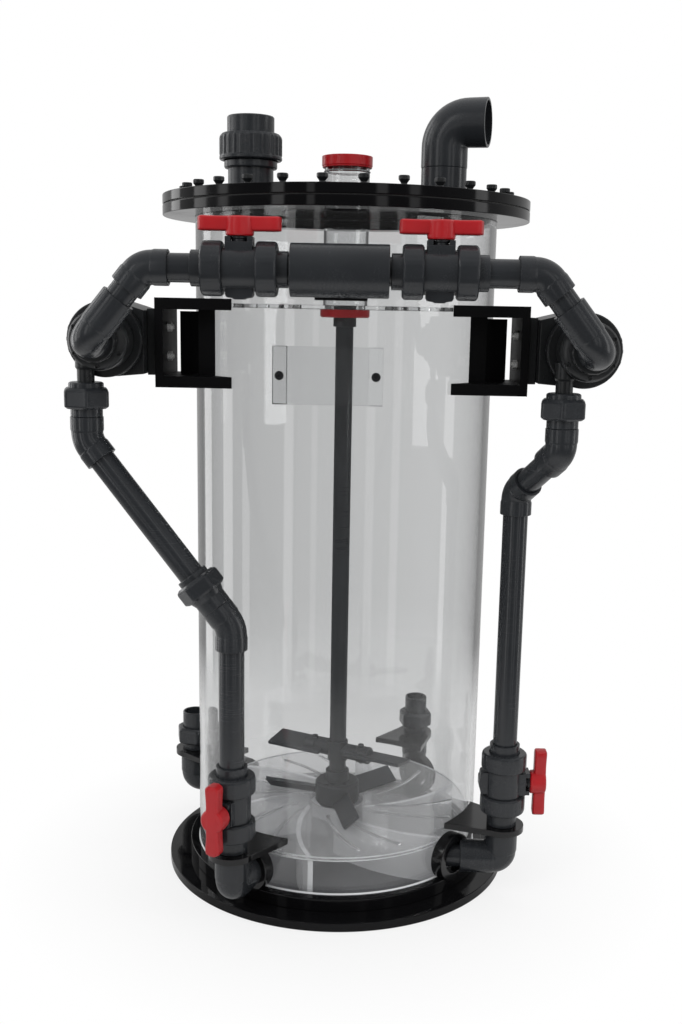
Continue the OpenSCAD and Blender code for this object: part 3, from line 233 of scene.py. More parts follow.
class Form:
    """The mesh of one piece."""

    def __init__(self):
        self.mesh = bmesh.new()

    def loop(self, points):
        return [self.mesh.verts.new(p) for p in points]

    def skin(self, loops, closed=False):
        """Faces between neighbouring loops. A loop of one point closes to a tip."""
        pairs = list(zip(loops, loops[1:])) + ([(loops[-1], loops[0])] if closed else [])
        for a, b in pairs:
            n = max(len(a), len(b))
            for k in range(n):
                quad = [a[k % len(a)], a[(k + 1) % len(a)], b[(k + 1) % len(b)], b[k % len(b)]]
                face = list(dict.fromkeys(quad))
                if len(face) > 2:
                    self.mesh.faces.new(face)

    def turned(self, outline, place=Matrix(), steps=64, soft=0.8, shape=None, closed=True):
        """A turned solid. shape(angle) scales the radius of points that carry a weight."""
        loops = []
        for r, z, weight in rounded(outline, soft) if soft else weighted(outline):
            if r < 0.01:
                loops.append(self.loop([place @ Vector((0, 0, z))]))
                continue
            ring = []
            for k in range(steps):
                a = 2 * pi * k / steps
                q = r * (1 + weight * (shape(a) - 1)) if shape and weight else r
                ring.append(place @ Vector((q * cos(a), q * sin(a), z)))
            loops.append(self.loop(ring))
        self.skin(loops, closed)

    def ring(self, bore, outer, low, high, place=Matrix(), steps=ROUND, soft=0.8):
        """A turned ring, or a disc where the bore is 0."""
        self.turned([(bore, low), (outer, low), (outer, high), (bore, high)], place, steps, soft)

    def prism(self, corners, low, high, place=Matrix()):
        """A flat plate: corners in local XY, from low to high along local Z."""
        ends = [self.loop([place @ Vector((x, y, z)) for x, y in corners]) for z in (low, high)]
        self.skin(ends)
        for end in ends:
            self.mesh.faces.new(end)

    def block(self, low, high, place=Matrix()):
        (x0, y0, z0), (x1, y1, z1) = low, high
        self.prism([(x0, y0), (x1, y0), (x1, y1), (x0, y1)], z0, z1, place)

    def lofted(self, sections):
        """A closed solid through loops of points."""
        loops = [self.loop(s) for s in sections]
        self.skin(loops)
        for end in (loops[0], loops[-1]):
            self.mesh.faces.new(end)

    def swept(self, path, steps=ROUND, closed=False):
        """A round tube along (point, direction across, direction across, radius) stations."""
        ring = circle(steps)
        loops = [self.loop([point + (x * c + y * s) * r for c, s in ring])
                 for point, x, y, r in path]
        self.skin(loops, closed)

    def piece(self, name, finish, replaces=(), body="column", bevel=0.0):
        """Makes the object, lets it ride on its CAD body and gives it its finish."""
        bmesh.ops.recalc_face_normals(self.mesh, faces=self.mesh.faces)
        bmesh.ops.scale(self.mesh, vec=(MM, MM, MM), verts=self.mesh.verts)
        mesh = bpy.data.meshes.new(name)
        self.mesh.to_mesh(mesh)
        self.mesh.free()
        mesh.shade_smooth()
        mesh.set_sharp_from_angle(angle=SHARP)
        mesh.materials.append(FINISHES[finish])
        obj = bpy.data.objects.new(name, mesh)
        bpy.context.scene.collection.objects.link(obj)
        if bevel:
            edge = obj.modifiers.new("Eased edges", "BEVEL")
            edge.width, edge.segments, edge.limit_method = bevel * MM, 2, "ANGLE"
            edge.angle_limit, edge.harden_normals = SHARP, False
        obj.modifiers.new("Face weighted normals", "WEIGHTED_NORMAL").keep_sharp = True
        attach(obj, body)
        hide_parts(*replaces)


def dress(finish, *nodes):
    """Gives CAD nodes a finish."""
    for node in nodes:
        data = frame["nodes"][node].data
        data.materials.clear()
        data.materials.append(FINISHES[finish])


# ---- Shader effects and finishes ----


class Tree:
    """Short calls for building a node tree."""

    def __init__(self, tree):
        self.tree = tree

    def node(self, kind, **values):
        """A new node. A value is a setting of the node, or of the input with that name."""
        made = self.tree.nodes.new(kind)
        for key, value in values.items():
            if hasattr(made, key):
                setattr(made, key, value)
            else:
                self.feed(made.inputs[key.replace("_", " ")], value)
        return made

    def feed(self, socket, value):
        if isinstance(value, bpy.types.NodeSocket):
            self.tree.links.new(value, socket)
        else:
            socket.default_value = value

    def feed_all(self, made, values, first=0, result=0):
        """Feeds inputs in order, from the first one given, and returns one output."""
        for socket, value in zip(made.inputs[first:], values):
            self.feed(socket, value)
        return made.outputs[result]

    def maths(self, operation, a, b=0.0, c=0.0, clamp=False):
        made = self.node("ShaderNodeMath", operation=operation, use_clamp=clamp)
        return self.feed_all(made, (a, b, c))

    def spread(self, value, low, high, to_low=0.0, to_high=1.0):
        """The value mapped from low..high to to_low..to_high."""
        made = self.node("ShaderNodeMapRange", clamp=True)
        return self.feed_all(made, (value, low, high, to_low, to_high))

    def mix(self, factor, a, b, blend="MIX"):
        """A mix of two colours."""
        made = self.node("ShaderNodeMix", data_type="RGBA", blend_type=blend, Factor=factor)
        colours = [(*c, 1.0) if isinstance(c, tuple) else c for c in (a, b)]
        return self.feed_all(made, colours, 6, 2)

    def choose(self, factor, off, on):
        """A mix of two numbers."""
        made = self.node("ShaderNodeMix", data_type="FLOAT", Factor=factor)
        return self.feed_all(made, (off, on), 2)

    def blend(self, factor, a, b):
        """A mix of two shaders."""
        return self.feed_all(self.node("ShaderNodeMixShader"), (factor, a, b))

    def noise(self, scale, detail=2.0, rough=0.5, vector=None):
        made = self.node("ShaderNodeTexNoise", Scale=scale, Detail=detail, Roughness=rough)
        if vector is not None:
            self.feed(made.inputs["Vector"], vector)
        return made.outputs["Fac"]

    def place(self):
        return self.node("ShaderNodeTexCoord").outputs["Object"]

    def stretched(self, scale):
        """The place on the object, scaled by axis."""
        made = self.node("ShaderNodeMapping", Scale=scale)
        return self.feed_all(made, [self.place()])

    def parts(self, vector):
        """The X, Y and Z of a vector."""
        made = self.node("ShaderNodeSeparateXYZ")
        self.feed(made.inputs[0], vector)
        return made.outputs

    def bump(self, strength, distance, height):
        made = self.node("ShaderNodeBump", Strength=strength, Distance=distance, Height=height)
        return made.outputs["Normal"]

    def surface(self, shader):
        self.feed(self.tree.nodes["Material Output"].inputs["Surface"], shader)


def effect(name, inputs, outputs):
    """A new shader node group with named sockets: the group, its tree, inputs and outputs."""
    group = bpy.data.node_groups.new(name, "ShaderNodeTree")
    for label, value in inputs:
        socket = group.interface.new_socket(label, in_out="INPUT", socket_type="NodeSocketFloat")
        socket.default_value = value
    for label in outputs:
        kind = "NodeSocketVector" if label == "Normal" else "NodeSocketFloat"
        group.interface.new_socket(label, in_out="OUTPUT", socket_type=kind)
    tree = Tree(group)
    return group, tree, tree.node("NodeGroupInput").outputs, tree.node("NodeGroupOutput").inputs


def moulded_skin():
    """Grain and slow colour drift of moulded or drawn plastic."""
    group, t, given, out = effect("Moulded skin", [("Grain", 900.0), ("Drift", 14.0)],
                                  ["Shade", "Height", "Roughness"])
    here = t.place()
    grain = t.noise(given["Grain"], 3.0, 0.6, here)
    drift = t.noise(given["Drift"], 4.0, 0.55, here)
    t.feed(out["Shade"], t.spread(drift, 0.3, 0.7, 0.86, 1.12))
    t.feed(out["Height"], grain)
    t.feed(out["Roughness"], t.maths("ADD", t.spread(drift, 0.3, 0.7, -0.05, 0.05),
                                     t.spread(grain, 0.3, 0.7, -0.03, 0.03)))
    return group


def eased_edges_highlight_and_wear():
    """Rounds edges in the shading and marks pale edges: a painted highlight, in patches like rubbed
    wear.
    """
    group, t, given, out = effect("Rubbed edges", [("Radius", 0.0008), ("Amount", 0.5)],
                                  ["Edge", "Normal"])
    eased = t.node("ShaderNodeBevel", samples=4, Radius=given["Radius"]).outputs["Normal"]
    flat = t.node("ShaderNodeNewGeometry").outputs["Normal"]
    dot = t.node("ShaderNodeVectorMath", operation="DOT_PRODUCT")
    # Pale edge mask: painted highlight along the rounded edges, broken into patches of rubbed wear
    bent = t.spread(t.feed_all(dot, (eased, flat), result="Value"), 0.995, 0.8)
    patch = t.spread(t.noise(60.0, 3.0, 0.6, t.place()), 0.35, 0.65)
    t.feed(out["Edge"], t.maths("MULTIPLY", t.maths("MULTIPLY", bent, patch), given["Amount"]))
    t.feed(out["Normal"], eased)
    return group


def handled_film():
    """Faint smears from wiping and dust that settles on faces that look up."""
    group, t, given, out = effect("Handled film", [("Smear", 9.0), ("Dust", 0.3)],
                                  ["Smear", "Dust"])
    smear = t.noise(given["Smear"], 5.0, 0.62, t.stretched((1.0, 1.0, 0.35)))
    t.feed(out["Smear"], t.spread(smear, 0.46, 0.72))
    facing = t.parts(t.node("ShaderNodeNewGeometry").outputs["Normal"])
    flat = t.spread(facing["Z"], 0.7, 1.0)
    specks = t.spread(t.noise(420.0, 2.0, 0.7, t.place()), 0.5, 0.75)
    t.feed(out["Dust"], t.maths("MULTIPLY", t.maths("MULTIPLY", flat, specks), given["Dust"]))
    return group


def turned_rings():
    """Fine rings left by turning or drawing along Z."""
    group, t, given, out = effect("Drawn lines", [("Scale", 900.0)], ["Height", "Roughness"])
    lines = t.noise(given["Scale"], 2.0, 0.6, t.stretched((0.04, 0.04, 1.0)))
    t.feed(out["Height"], lines)
    t.feed(out["Roughness"], t.spread(lines, 0.3, 0.7, -0.06, 0.06))
    return group


EFFECTS = {}
ACRYLIC_IOR = 1.49


def placed_effect(t, name, **values):
    """The outputs of a shared effect, placed in a material with its own values."""
    return t.node("ShaderNodeGroup", node_tree=EFFECTS[name], **values).outputs


def new_finish(name):
    """A new material: its node tree and its Principled shader."""
    material = bpy.data.materials.new(name)
    material.use_nodes = True
    FINISHES[name] = material
    return Tree(material.node_tree), material.node_tree.nodes["Principled BSDF"]


def plastic(name, base, roughness, grain=900.0, bump=0.04, dust=0.25, pale=(0.5, 0.5, 0.5),
            lines=False, edges=0.0, specular=0.5):
    """Moulded, drawn or sheet plastic with grain, smears, dust and pale edges, partly painted
    highlight and partly rubbed wear.
    """
    t, shader = new_finish(name)
    skin = placed_effect(t, "skin", Grain=grain)
    film = placed_effect(t, "film", Dust=dust)
    shade = t.feed_all(t.node("ShaderNodeCombineXYZ"), [skin["Shade"]] * 3)
    colour_seen = t.mix(film["Dust"], t.mix(1.0, base, shade, "MULTIPLY"), pale)
    rough = t.maths("ADD", skin["Roughness"], roughness)
    rough = t.maths("ADD", rough, t.maths("MULTIPLY", film["Smear"], 0.07), clamp=True)
    height = skin["Height"]
    if lines:
        drawn = placed_effect(t, "lines")
        height = t.maths("ADD", height, drawn["Height"])
        rough = t.maths("ADD", rough, drawn["Roughness"], clamp=True)
    normal = t.bump(bump, 0.0004, height)
    if edges:
        edge_highlight_and_wear = placed_effect(t, "edges", Radius=edges)
        # Edges mixed towards a paler colour: partly a painted highlight, partly rubbed wear
        edge_highlight_and_wear_colour = tuple(min(1.0, c * 3 + 0.03) for c in base)
        colour_seen = t.mix(edge_highlight_and_wear["Edge"], colour_seen, edge_highlight_and_wear_colour)
        t.feed(normal.node.inputs["Normal"], edge_highlight_and_wear["Normal"])
    t.feed(shader.inputs["Base Color"], colour_seen)
    t.feed(shader.inputs["Roughness"], rough)
    t.feed(shader.inputs["Normal"], normal)
    shader.inputs["Specular IOR Level"].default_value = specular


def clear_sheet(name, tint, roughness=0.012, edges=0.0, clarity=1.0):
    """Clear acrylic that lets the lamps through to what it holds."""
    t, shader = new_finish(name)
    film = placed_effect(t, "film", Smear=6.0)
    tinted = t.mix(t.maths("MULTIPLY", film["Smear"], 0.25), tint, tuple(c * 0.93 for c in tint))
    t.feed(shader.inputs["Base Color"], tinted)
    t.feed(shader.inputs["Roughness"], t.maths("MULTIPLY_ADD", film["Smear"], 0.02, roughness))
    if edges:
        edge_highlight_and_wear = placed_effect(t, "edges", Radius=edges)
        t.feed(shader.inputs["Normal"], edge_highlight_and_wear["Normal"])
    shader.inputs["Transmission Weight"].default_value = clarity
    shader.inputs["IOR"].default_value = ACRYLIC_IOR
    lamp = t.node("ShaderNodeBsdfTransparent", Color=(*tint, 1.0))
    rays = t.node("ShaderNodeLightPath").outputs
    through = t.maths("MAXIMUM", rays["Is Shadow Ray"], rays["Is Diffuse Ray"])
    t.surface(t.blend(through, shader.outputs[0], lamp.outputs[0]))


def bright_steel(name):
    """Bright nuts and bolts with fine scratches."""
    t, shader = new_finish(name)
    here = t.place()
    scratches = t.noise(1600.0, 3.0, 0.7, here)
    drift = t.noise(120.0, 3.0, 0.5, here)
    t.feed(shader.inputs["Base Color"], t.mix(drift, (0.78, 0.78, 0.77), (0.9, 0.9, 0.89)))
    t.feed(shader.inputs["Roughness"], t.spread(scratches, 0.3, 0.7, 0.2, 0.36))
    t.feed(shader.inputs["Normal"], t.bump(0.06, 0.0002, scratches))
    shader.inputs["Metallic"].default_value = 0.6


def make_finishes():
    """All the finishes, from the colours that a user sets."""
    colours = bpy.context.scene.finish_colours
    grey, shaft, black, pump, red, sheet = (tuple(getattr(colours, key))
                                            for key in colours.__annotations__)
    EFFECTS.update(skin=moulded_skin(), edges=eased_edges_highlight_and_wear(), film=handled_film(),
                   lines=turned_rings())
    # Name, colour, roughness, grain's scale, bump's strength and dust
    plastic("Drawn pipe", grey, 0.2, 1400.0, 0.003, 0.1, lines=True)
    plastic("Moulded fitting", grey, 0.23, 1100.0, 0.02, 0.1)
    plastic("Turned grey", shaft, 0.34, 1200.0, 0.03, 0.1, lines=True)
    plastic("Cut grey sheet", tuple(c * 1.25 for c in shaft), 0.38, 700.0, 0.04, 0.1, edges=0.0006)
    plastic("Gloss black sheet", black, 0.1, 500.0, 0.006, 0.012, edges=0.0007)
    plastic("Satin black sheet", black, 0.45, 500.0, 0.01, 0.03, edges=0.0007, specular=0.12)
    plastic("Gloss black plate", black, 0.06, 500.0, 0.006, 0.008, specular=0.22)
    plastic("Moulded black", pump, 0.32, 800.0, 0.06, 0.12)
    plastic("Lever red", red, 0.3, 1000.0, 0.02, 0.05, pale=(0.6, 0.3, 0.3))
    plastic("Sawn edge", (0.66, 0.67, 0.68), 0.45, 500.0, 0.05, 0.0)
    plastic("Plenum lining", (0.13, 0.13, 0.135), 0.35, 500.0, 0.02, 0.1)
    plastic("Gasket rubber", (0.02, 0.02, 0.02), 0.6, 700.0, 0.08, 0.1)
    # Name, tint, roughness, radius of the eased edges and share of light let through
    clear_sheet("Clear tube", sheet)
    clear_sheet("Clear cut sheet", tuple(min(1.0, c + 0.03) for c in sheet), 0.03, 0.0006)
    clear_sheet("Milky cut sheet", (0.95, 0.95, 0.955), 0.05, 0.0006, 0.86)
    clear_sheet("Milky vanes", (0.96, 0.96, 0.965), 0.05, 0.0006, 0.66)
    bright_steel("Bright steel")


# ---- Shared fittings ----


def elbow(form, corner, way_in, way_out, leg, sleeve=0.0, tight=0.0, radius=None):
    """A socketed elbow: a swept bend between two sockets, the first one longer by sleeve.

    tight takes from the bend and adds to the sockets, and radius is that of the sockets.
    """
    s = in_mm("pipe_sizes")
    socket = radius or s.socket
    corner = Vector(corner)
    u, v = Vector(way_in).normalized(), Vector(way_out).normalized()
    turn = pi - acos(max(-1.0, min(1.0, u.dot(v))))
    reach = leg - s.depth - tight
    bend = reach / tan(turn / 2)
    centre = corner + (u + v).normalized() * (reach ** 2 + bend ** 2) ** 0.5
    normal = u.cross(v).normalized()
    start, finish = corner + u * reach - centre, corner + v * reach - centre
    sense = 1 if (Matrix.Rotation(turn, 3, normal) @ start - finish).length < 1 else -1
    path = []
    for k in range(BEND + 1):
        arm = Matrix.Rotation(sense * turn * k / BEND, 3, normal) @ start
        path.append((centre + arm, arm.normalized(), normal, socket - 0.9))
    form.swept(path)
    mouth = s.pipe + PIPE_FIT
    for way, end in ((u, leg + sleeve), (v, leg)):
        form.turned([(10, reach - 1), (socket - 1.1, reach - 1), (socket, reach + 2.5),
                     (socket, end), (mouth, end), (mouth, end - 2.5), (10, end - 2.5)],
                    along(corner, way), ROUND, 0.7)


def pipe(form, a, b, radius=None):
    """A straight pipe from a to b."""
    r, wall = radius or in_mm("pipe_sizes").pipe, 4
    run = Vector(b) - Vector(a)
    form.ring(r - wall, r, 0, run.length, along(a, run), soft=0.4)


def to_tube(spot, way, tube):
    """Distance from a spot, along a level way, to an upright tube round the axis."""
    run = -spot.dot(way)
    return run - (run ** 2 - spot.xy.length_squared + tube ** 2) ** 0.5


def cut_pipe(form, start, way):
    """A pipe from start to just short of the tube, its end cut to the tube's curve."""
    s = in_mm("pipe_sizes")
    across, tube = UP.cross(way), reach_of("vessel_tube") + 0.3
    near = [start + (across * c + UP * q) * s.pipe for c, q in circle(ROUND)]
    form.lofted([near, [spot + way * to_tube(spot, way, tube) for spot in near]])


def port_bearing(port):
    """Bearing of a port: front right, then clockwise from above, a quarter turn apart."""
    return -29.5 - 90 * port


def port_places(s):
    """Corner, level way in and bearing of the hole of each bottom port."""
    for port, slant in enumerate(PORT_SLANTS):
        corner = plan(port_bearing(port)) * s.port
        inward = -plan(port_bearing(port) + slant)
        pierce = corner + inward * to_tube(corner, inward, reach_of("vessel_tube"))
        yield corner + UP * s.port_height, inward, pierce.normalized()


def hexagon(angle):
    """Share of the corner radius that a six-sided nut has at an angle, its corners eased."""
    flat = 0.885
    return min(1.0, flat / cos((angle + pi / 6) % (pi / 3) - pi / 6))


def hex_nut(form, place, low, high, radius, bore):
    """A plastic union nut with six flats and sloping ends."""
    form.turned([(bore, low), (radius - 4.5, low, 0.5), (radius - 0.5, low + 2.5, 1),
                 (radius, low + 4, 1), (radius, high - 5, 1), (radius - 1, high - 2.5, 1),
                 (radius - 5, high, 0.4), (bore, high)], place, 96, 0.8, hexagon)


def ribs(count, depth):
    """Shape of a turned piece with upright grip ribs, as a share of its radius."""
    return lambda a: 1 + depth * (max(0.0, cos(count * a)) ** 0.5 - 0.5)


def valve_places():
    """Frames of the four valves: local Z along the pipe and local X along the stem."""
    places = {}
    for joint in frame["record"]["behaviour"]["joints"]:
        if joint["name"].endswith("_valve_turn"):
            stem = Vector(joint["axis"])
            run = RIGHT if "header" in joint["name"] else UP
            places[joint["child"]] = axes(Vector(joint["pos_m"]) / MM, stem, run.cross(stem), run)
    return places


# ---- Pieces ----


class PieceOperator:
    """Runs the build of a group of pieces. A failure there raises its error."""

    bl_options = {"REGISTER", "UNDO"}

    def execute(self, context):
        self.build()
        return {"FINISHED"}


class BIOREACTOR_OT_plates(PieceOperator, bpy.types.Operator):
    """Base, collar ring, top flange, gasket and lid"""

    bl_idname = "bioreactor.plates"
    bl_label = "Plates"

    def build(self):
        s = in_mm("column_sizes")
        rings = {"base_plate": 0, "base_ring": s.tube + 0.15, "top_flange": s.tube + 0.15,
                 "lid": s.neck + 0.1}
        for node, bore in rings.items():
            form = Form()
            form.ring(bore, reach_of(node), *span_of(node), steps=224, soft=1.1)
            form.piece(f"{node}_turned", "Gloss black plate", [node])
        dress("Gasket rubber", "lid_gasket")


class BIOREACTOR_OT_column(PieceOperator, bpy.types.Operator):
    """Clear tube, neck, bearing plate, slotted floor and vanes"""

    bl_idname = "bioreactor.column"
    bl_label = "Clear column"

    def build(self):
        s = in_mm("column_sizes")
        form = Form()
        form.ring(s.tube - s.wall, s.tube, *span_of("vessel_tube"), steps=288, soft=0.5)
        form.piece("clear_tube", "Clear tube", ["vessel_tube"])
        foot, top = span_of("neck_tube")
        z, crest = top - 17.5, s.neck + 1.0
        thread = [(s.neck, z), (crest, z + 0.9), (crest, z + 1.5), (s.neck, z + 2.4)]
        form = Form()
        form.turned([(s.neck - 3, foot), (s.neck, foot), *thread, (s.neck, top), (s.neck - 3, top)],
                    steps=128, soft=0.4)
        form.piece("clear_neck", "Clear tube", ["neck_tube"])
        dress("Clear cut sheet", "bearing_plate")
        dress("Milky cut sheet", "false_floor")
        dress("Milky vanes", "plenum_vanes")
        self.sawn_edges(s)
        form, floor = Form(), top_of("base_plate")
        form.ring(0, s.tube - s.wall - 1, floor + 0.1, floor + 0.5, steps=128, soft=0)
        form.piece("plenum_lining", "Plenum lining")

    def sawn_edges(self, s):
        """Pale sawn edges of the slotted floor and its vanes, and the cement at the tube's foot."""
        low, high = span_of("plenum_vanes")
        floor, rim = top_of("false_floor"), s.tube - s.wall - 0.4
        form = Form()
        for z in (high + 0.2, floor - 1.6):
            form.ring(rim - 0.8, rim, z, z + 1.4, steps=224, soft=0)
        foot, joint = top_of("base_ring"), s.tube + 0.05
        form.turned([(joint, foot + 0.1), (s.tube + 1.5, foot + 0.1), (joint, foot + 2)],
                    steps=224, soft=0)
        vanes, first, half = 6, -98.8, 2.6
        curve, lean, inner, outer = 220, 70, 45, rim - 1.8
        rise = outer * sin(radians(lean))
        centre = outer * cos(radians(lean)) + (curve ** 2 - rise ** 2) ** 0.5
        for k in range(vanes):
            start = 360 / vanes * k + first
            for reach in (curve - half, curve + half):
                for z in (low + 0.8, high - 0.8):
                    path = []
                    for m in range(15):
                        r = inner + (outer - 0.5 - inner) * m / 14
                        bend = acos((centre ** 2 + r ** 2 - reach ** 2) / (2 * centre * r))
                        turn = start + lean - degrees(bend)
                        path.append((plan(turn) * r + UP * z, UP, plan(turn + 90), 0.55))
                    form.swept(path, 8)
            form.block((outer - 0.9, -half - 0.3, low + 0.3), (outer - 0.1, half + 0.3, high - 0.3),
                       around(start))
        form.piece("sawn_edges", "Sawn edge")


class BIOREACTOR_OT_thumbscrews(PieceOperator, bpy.types.Operator):
    """Ring of knurled thumbscrews through the lid and flange"""

    bl_idname = "bioreactor.thumbscrews"
    bl_label = "Thumbscrews"

    def build(self):
        s = in_mm("column_sizes")
        count = 28
        z = top_of("lid")
        foot = bottom_of("top_flange") + 2
        form = Form()
        for k in range(count):
            spot = plan(-90 + (k + 0.5) * 360 / count) * s.screw_circle
            place = Matrix.Translation(spot) @ around(k * 47)
            form.turned([(0, foot), (2.4, foot), (3, foot + 1), (3, z), (4.5, z), (3.7, z + 3.7),
                         (4.9, z + 5.4), (6.5, z + 7.8, 1), (6.5, z + 11.4, 1), (5.9, z + 12.5),
                         (4.4, z + 12.5), (4.0, z + 11.6), (0, z + 11.6)],
                        place, 40, 0.5, lambda a: 1 + 0.035 * cos(10 * a))
        form.piece("thumbscrews", "Moulded black", ["lid_thumbscrews"])


class BIOREACTOR_OT_neck_cap(PieceOperator, bpy.types.Operator):
    """Red cap of the neck and red bearing collar"""

    bl_idname = "bioreactor.neck_cap"
    bl_label = "Red cap and collar"

    def build(self):
        s = in_mm("column_sizes")
        low, high = span_of("neck_cap")
        r = reach_of("neck_cap")
        form = Form()
        bore = s.neck + 0.6
        form.turned([(0, high - 1), (r - 8, high - 1), (r - 6.5, high), (r, high), (r, low + 2.6),
                     (r - 0.7, low + 2), (r - 0.7, low), (bore, low), (bore, high - 3.2),
                     (0, high - 3.2)], steps=128, soft=1.0)
        form.piece("red_cap", "Lever red", ["neck_cap"], body="cap")
        low, high = span_of("bearing_collar")
        r, bore = reach_of("bearing_collar"), s.shaft + 0.3
        form = Form()
        form.turned([(bore, low), (r - 2, low), (r, low + 2), (r, high), (bore, high)],
                    steps=128, soft=0.6)
        form.piece("red_collar", "Lever red", ["bearing_collar"])


class BIOREACTOR_OT_stirrer(PieceOperator, bpy.types.Operator):
    """Stirrer shaft with its hubs, blades and screws"""

    bl_idname = "bioreactor.stirrer"
    bl_label = "Stirrer"

    def build(self):
        s = in_mm("column_sizes")
        foot, top = span_of("stirrer_shaft")
        collar = bottom_of("bearing_collar") - 0.2
        form = Form()
        wide = s.shaft + 3.5
        form.turned([(0, foot), (s.shaft, foot), (s.shaft, collar - 12), (wide, collar - 12),
                     (wide, collar), (s.shaft, collar), (s.shaft, top - 5), (wide, top - 5),
                     (wide, top), (7, top), (7, top - 9), (0, top - 9)], steps=72)
        form.piece("grey_shaft", "Turned grey", ["stirrer_shaft"], body="stirrer")
        hubs, blades, screws = Form(), Form(), Form()
        self.upper_stage(hubs, blades, screws, s)
        self.lower_stage(hubs, blades, s)
        hubs.piece("grey_hubs", "Turned grey", ["upper_hub", "lower_hub"], body="stirrer")
        blades.piece("grey_blades", "Cut grey sheet", ["upper_blades", "lower_blades"],
                     body="stirrer", bevel=0.6)
        screws.piece("grey_screws", "Turned grey", ["blade_screws"], body="stirrer", bevel=0.4)

    def upper_stage(self, hubs, blades, screws, s):
        """Wide boards with a slight pitch, held in the slit ends of a cross tee."""
        middle = Matrix.Translation(UP * (sum(span_of("upper_hub")) / 2))
        hubs.ring(s.shaft, s.shaft + 2.6, -15, 15, middle, 64, 1.2)
        bearing, pitch, reach, half = -27, -9, 107, 21
        for side in (0, 180):
            arm = middle @ around(bearing + side)
            hubs.turned([(0, 6), (11, 6), (11, 34), (12.2, 35), (12.2, 52), (0, 52)],
                        arm @ around(90, "Y"), ROUND)
            blades.block((21, -half, -2.5), (reach, half, 2.5), arm @ around(pitch, "X"))
            seat = arm @ Matrix.Translation(RIGHT * 38)
            screws.ring(0, 4.6, 11, 15, seat, 6, 0)
            screws.ring(0, 2.5, -14, -10, seat, 24, 0)

    def lower_stage(self, hubs, blades, s):
        """Three pitched blades set in a rounded hub with a clamp collar."""
        foot, hub = bottom_of("lower_hub"), reach_of("lower_hub")
        hubs.turned([(s.shaft - 2, foot), (hub - 12, foot), (hub, foot + 14), (hub, foot + 41),
                     (hub - 3, foot + 44), (17, foot + 44), (17, foot + 60), (s.shaft, foot + 60)],
                    steps=96, soft=1.5)
        height, pitch, reach, half = foot + 24.5, 41, 110, 13.5
        for bearing in (-78, 42, 162):
            place = Matrix.Translation(UP * height) @ around(bearing) @ around(pitch, "X")
            blades.block((16, -half, -2.5), (reach, half, 2.5), place)


class BIOREACTOR_OT_nameplate(PieceOperator, bpy.types.Operator):
    """Bare clear nameplate with its strips and screws"""

    bl_idname = "bioreactor.nameplate"
    bl_label = "Nameplate"

    def build(self):
        dress("Clear cut sheet", "nameplate", "nameplate_strips")
        low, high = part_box("nameplate_screws")
        z = (low.z + high.z) / 2 / MM
        form = Form()
        for x in (low.x / MM + 5.5, high.x / MM - 5.5):
            place = along((x, high.y / MM, z), -BACK)
            depth = (high.y - low.y) / MM
            form.turned([(0, 0.2), (2, 0.2), (2, depth - 3), (5.5, depth - 3), (5.5, depth - 1.4),
                         (4.2, depth), (2.4, depth), (2.2, depth - 1.6), (0, depth - 1.6)],
                        place, 40, 0.5)
        form.piece("plate_screws", "Moulded black", ["nameplate_screws"])


class BIOREACTOR_OT_outlet_union(PieceOperator, bpy.types.Operator):
    """Ribbed union that stands open on the left of the lid"""

    bl_idname = "bioreactor.outlet_union"
    bl_label = "Outlet union"

    def build(self):
        s = in_mm("column_sizes")
        place = Matrix.Translation(RIGHT * -s.fitting)
        base = top_of("lid")
        nut, nut_top = span_of("outlet_union_nut")
        rim, top = span_of("outlet_union_body")
        form = Form()
        form.ring(24, 30, base - 11, rim + 8, place, 96, 0.4)
        form.turned([(30.1, rim), (34, rim), (35, rim + 1.6), (35, nut - 1.4), (34, nut - 0.2),
                     (30.1, nut - 0.2)], place, 96, 0.7)
        form.turned([(31.3, nut + 20), (31.3, nut_top), (36.5, nut_top), (38.2, nut_top - 0.8),
                     (40.4, nut_top - 4, 0.5), (40.9, nut_top - 7, 1), (40.9, nut + 7, 1),
                     (40.9, nut + 5.5), (41.4, nut + 4), (41.4, nut + 1.4), (40, nut),
                     (36.2, nut), (36.2, nut + 20)], place, 28 * 8, 0.7, ribs(28, 0.03))
        form.turned([(25, nut + 12), (31, nut + 12), (31, top - 1.5), (29.8, top), (25.8, top),
                     (25, top - 0.8)], place, 96, 0.5)
        form.piece("outlet_union", "Moulded fitting",
                   ["outlet_pipe", "outlet_union_body", "outlet_union_nut"])


class BIOREACTOR_OT_vent(PieceOperator, bpy.types.Operator):
    """Swept vent elbow on the right of the lid"""

    bl_idname = "bioreactor.vent"
    bl_label = "Vent elbow"

    def build(self):
        s = in_mm("column_sizes")
        base, seam = top_of("lid"), bottom_of("vent_elbow")
        leg, bend, turn = 57, 31.5, -15
        foot = RIGHT * s.fitting
        out, side = plan(turn), plan(turn + 90)
        mid = seam + leg
        form = Form()
        form.turned([(26, base - 11), (30, base - 11), (30, seam - 0.5), (29.3, seam), (26, seam)],
                    Matrix.Translation(foot), 96, 0.5)
        stations, wall = [], 3.5
        for shrink in (0, wall):
            run = [(foot + UP * (seam + 0.1), out, 30 - shrink),
                   (foot + UP * (seam + 0.9), out, 30.6 - shrink)]
            centre = foot + UP * (mid - bend) + out * bend
            for k in range(BEND + 1):
                a = pi / 2 * k / BEND
                point = centre - out * bend * cos(a) + UP * bend * sin(a)
                r = 30.5 + 0.6 * k / BEND
                run.append((point, out * cos(a) - UP * sin(a), r - shrink))
            for d, r in ((leg - 20, 31.2), (leg - 1.2, 31.4), (leg - 0.4, 31.2 + shrink * 0.02),
                         (leg, 30.6 + shrink * 0.12)):
                run.append((foot + UP * mid + out * d, -UP, r - shrink))
            stations.append(run)
        path = [(p, x, side, r) for p, x, r in stations[0] + stations[1][::-1]]
        form.swept(path, 96, closed=True)
        form.piece("vent_elbow_swept", "Moulded fitting", ["vent_pipe", "vent_elbow"])


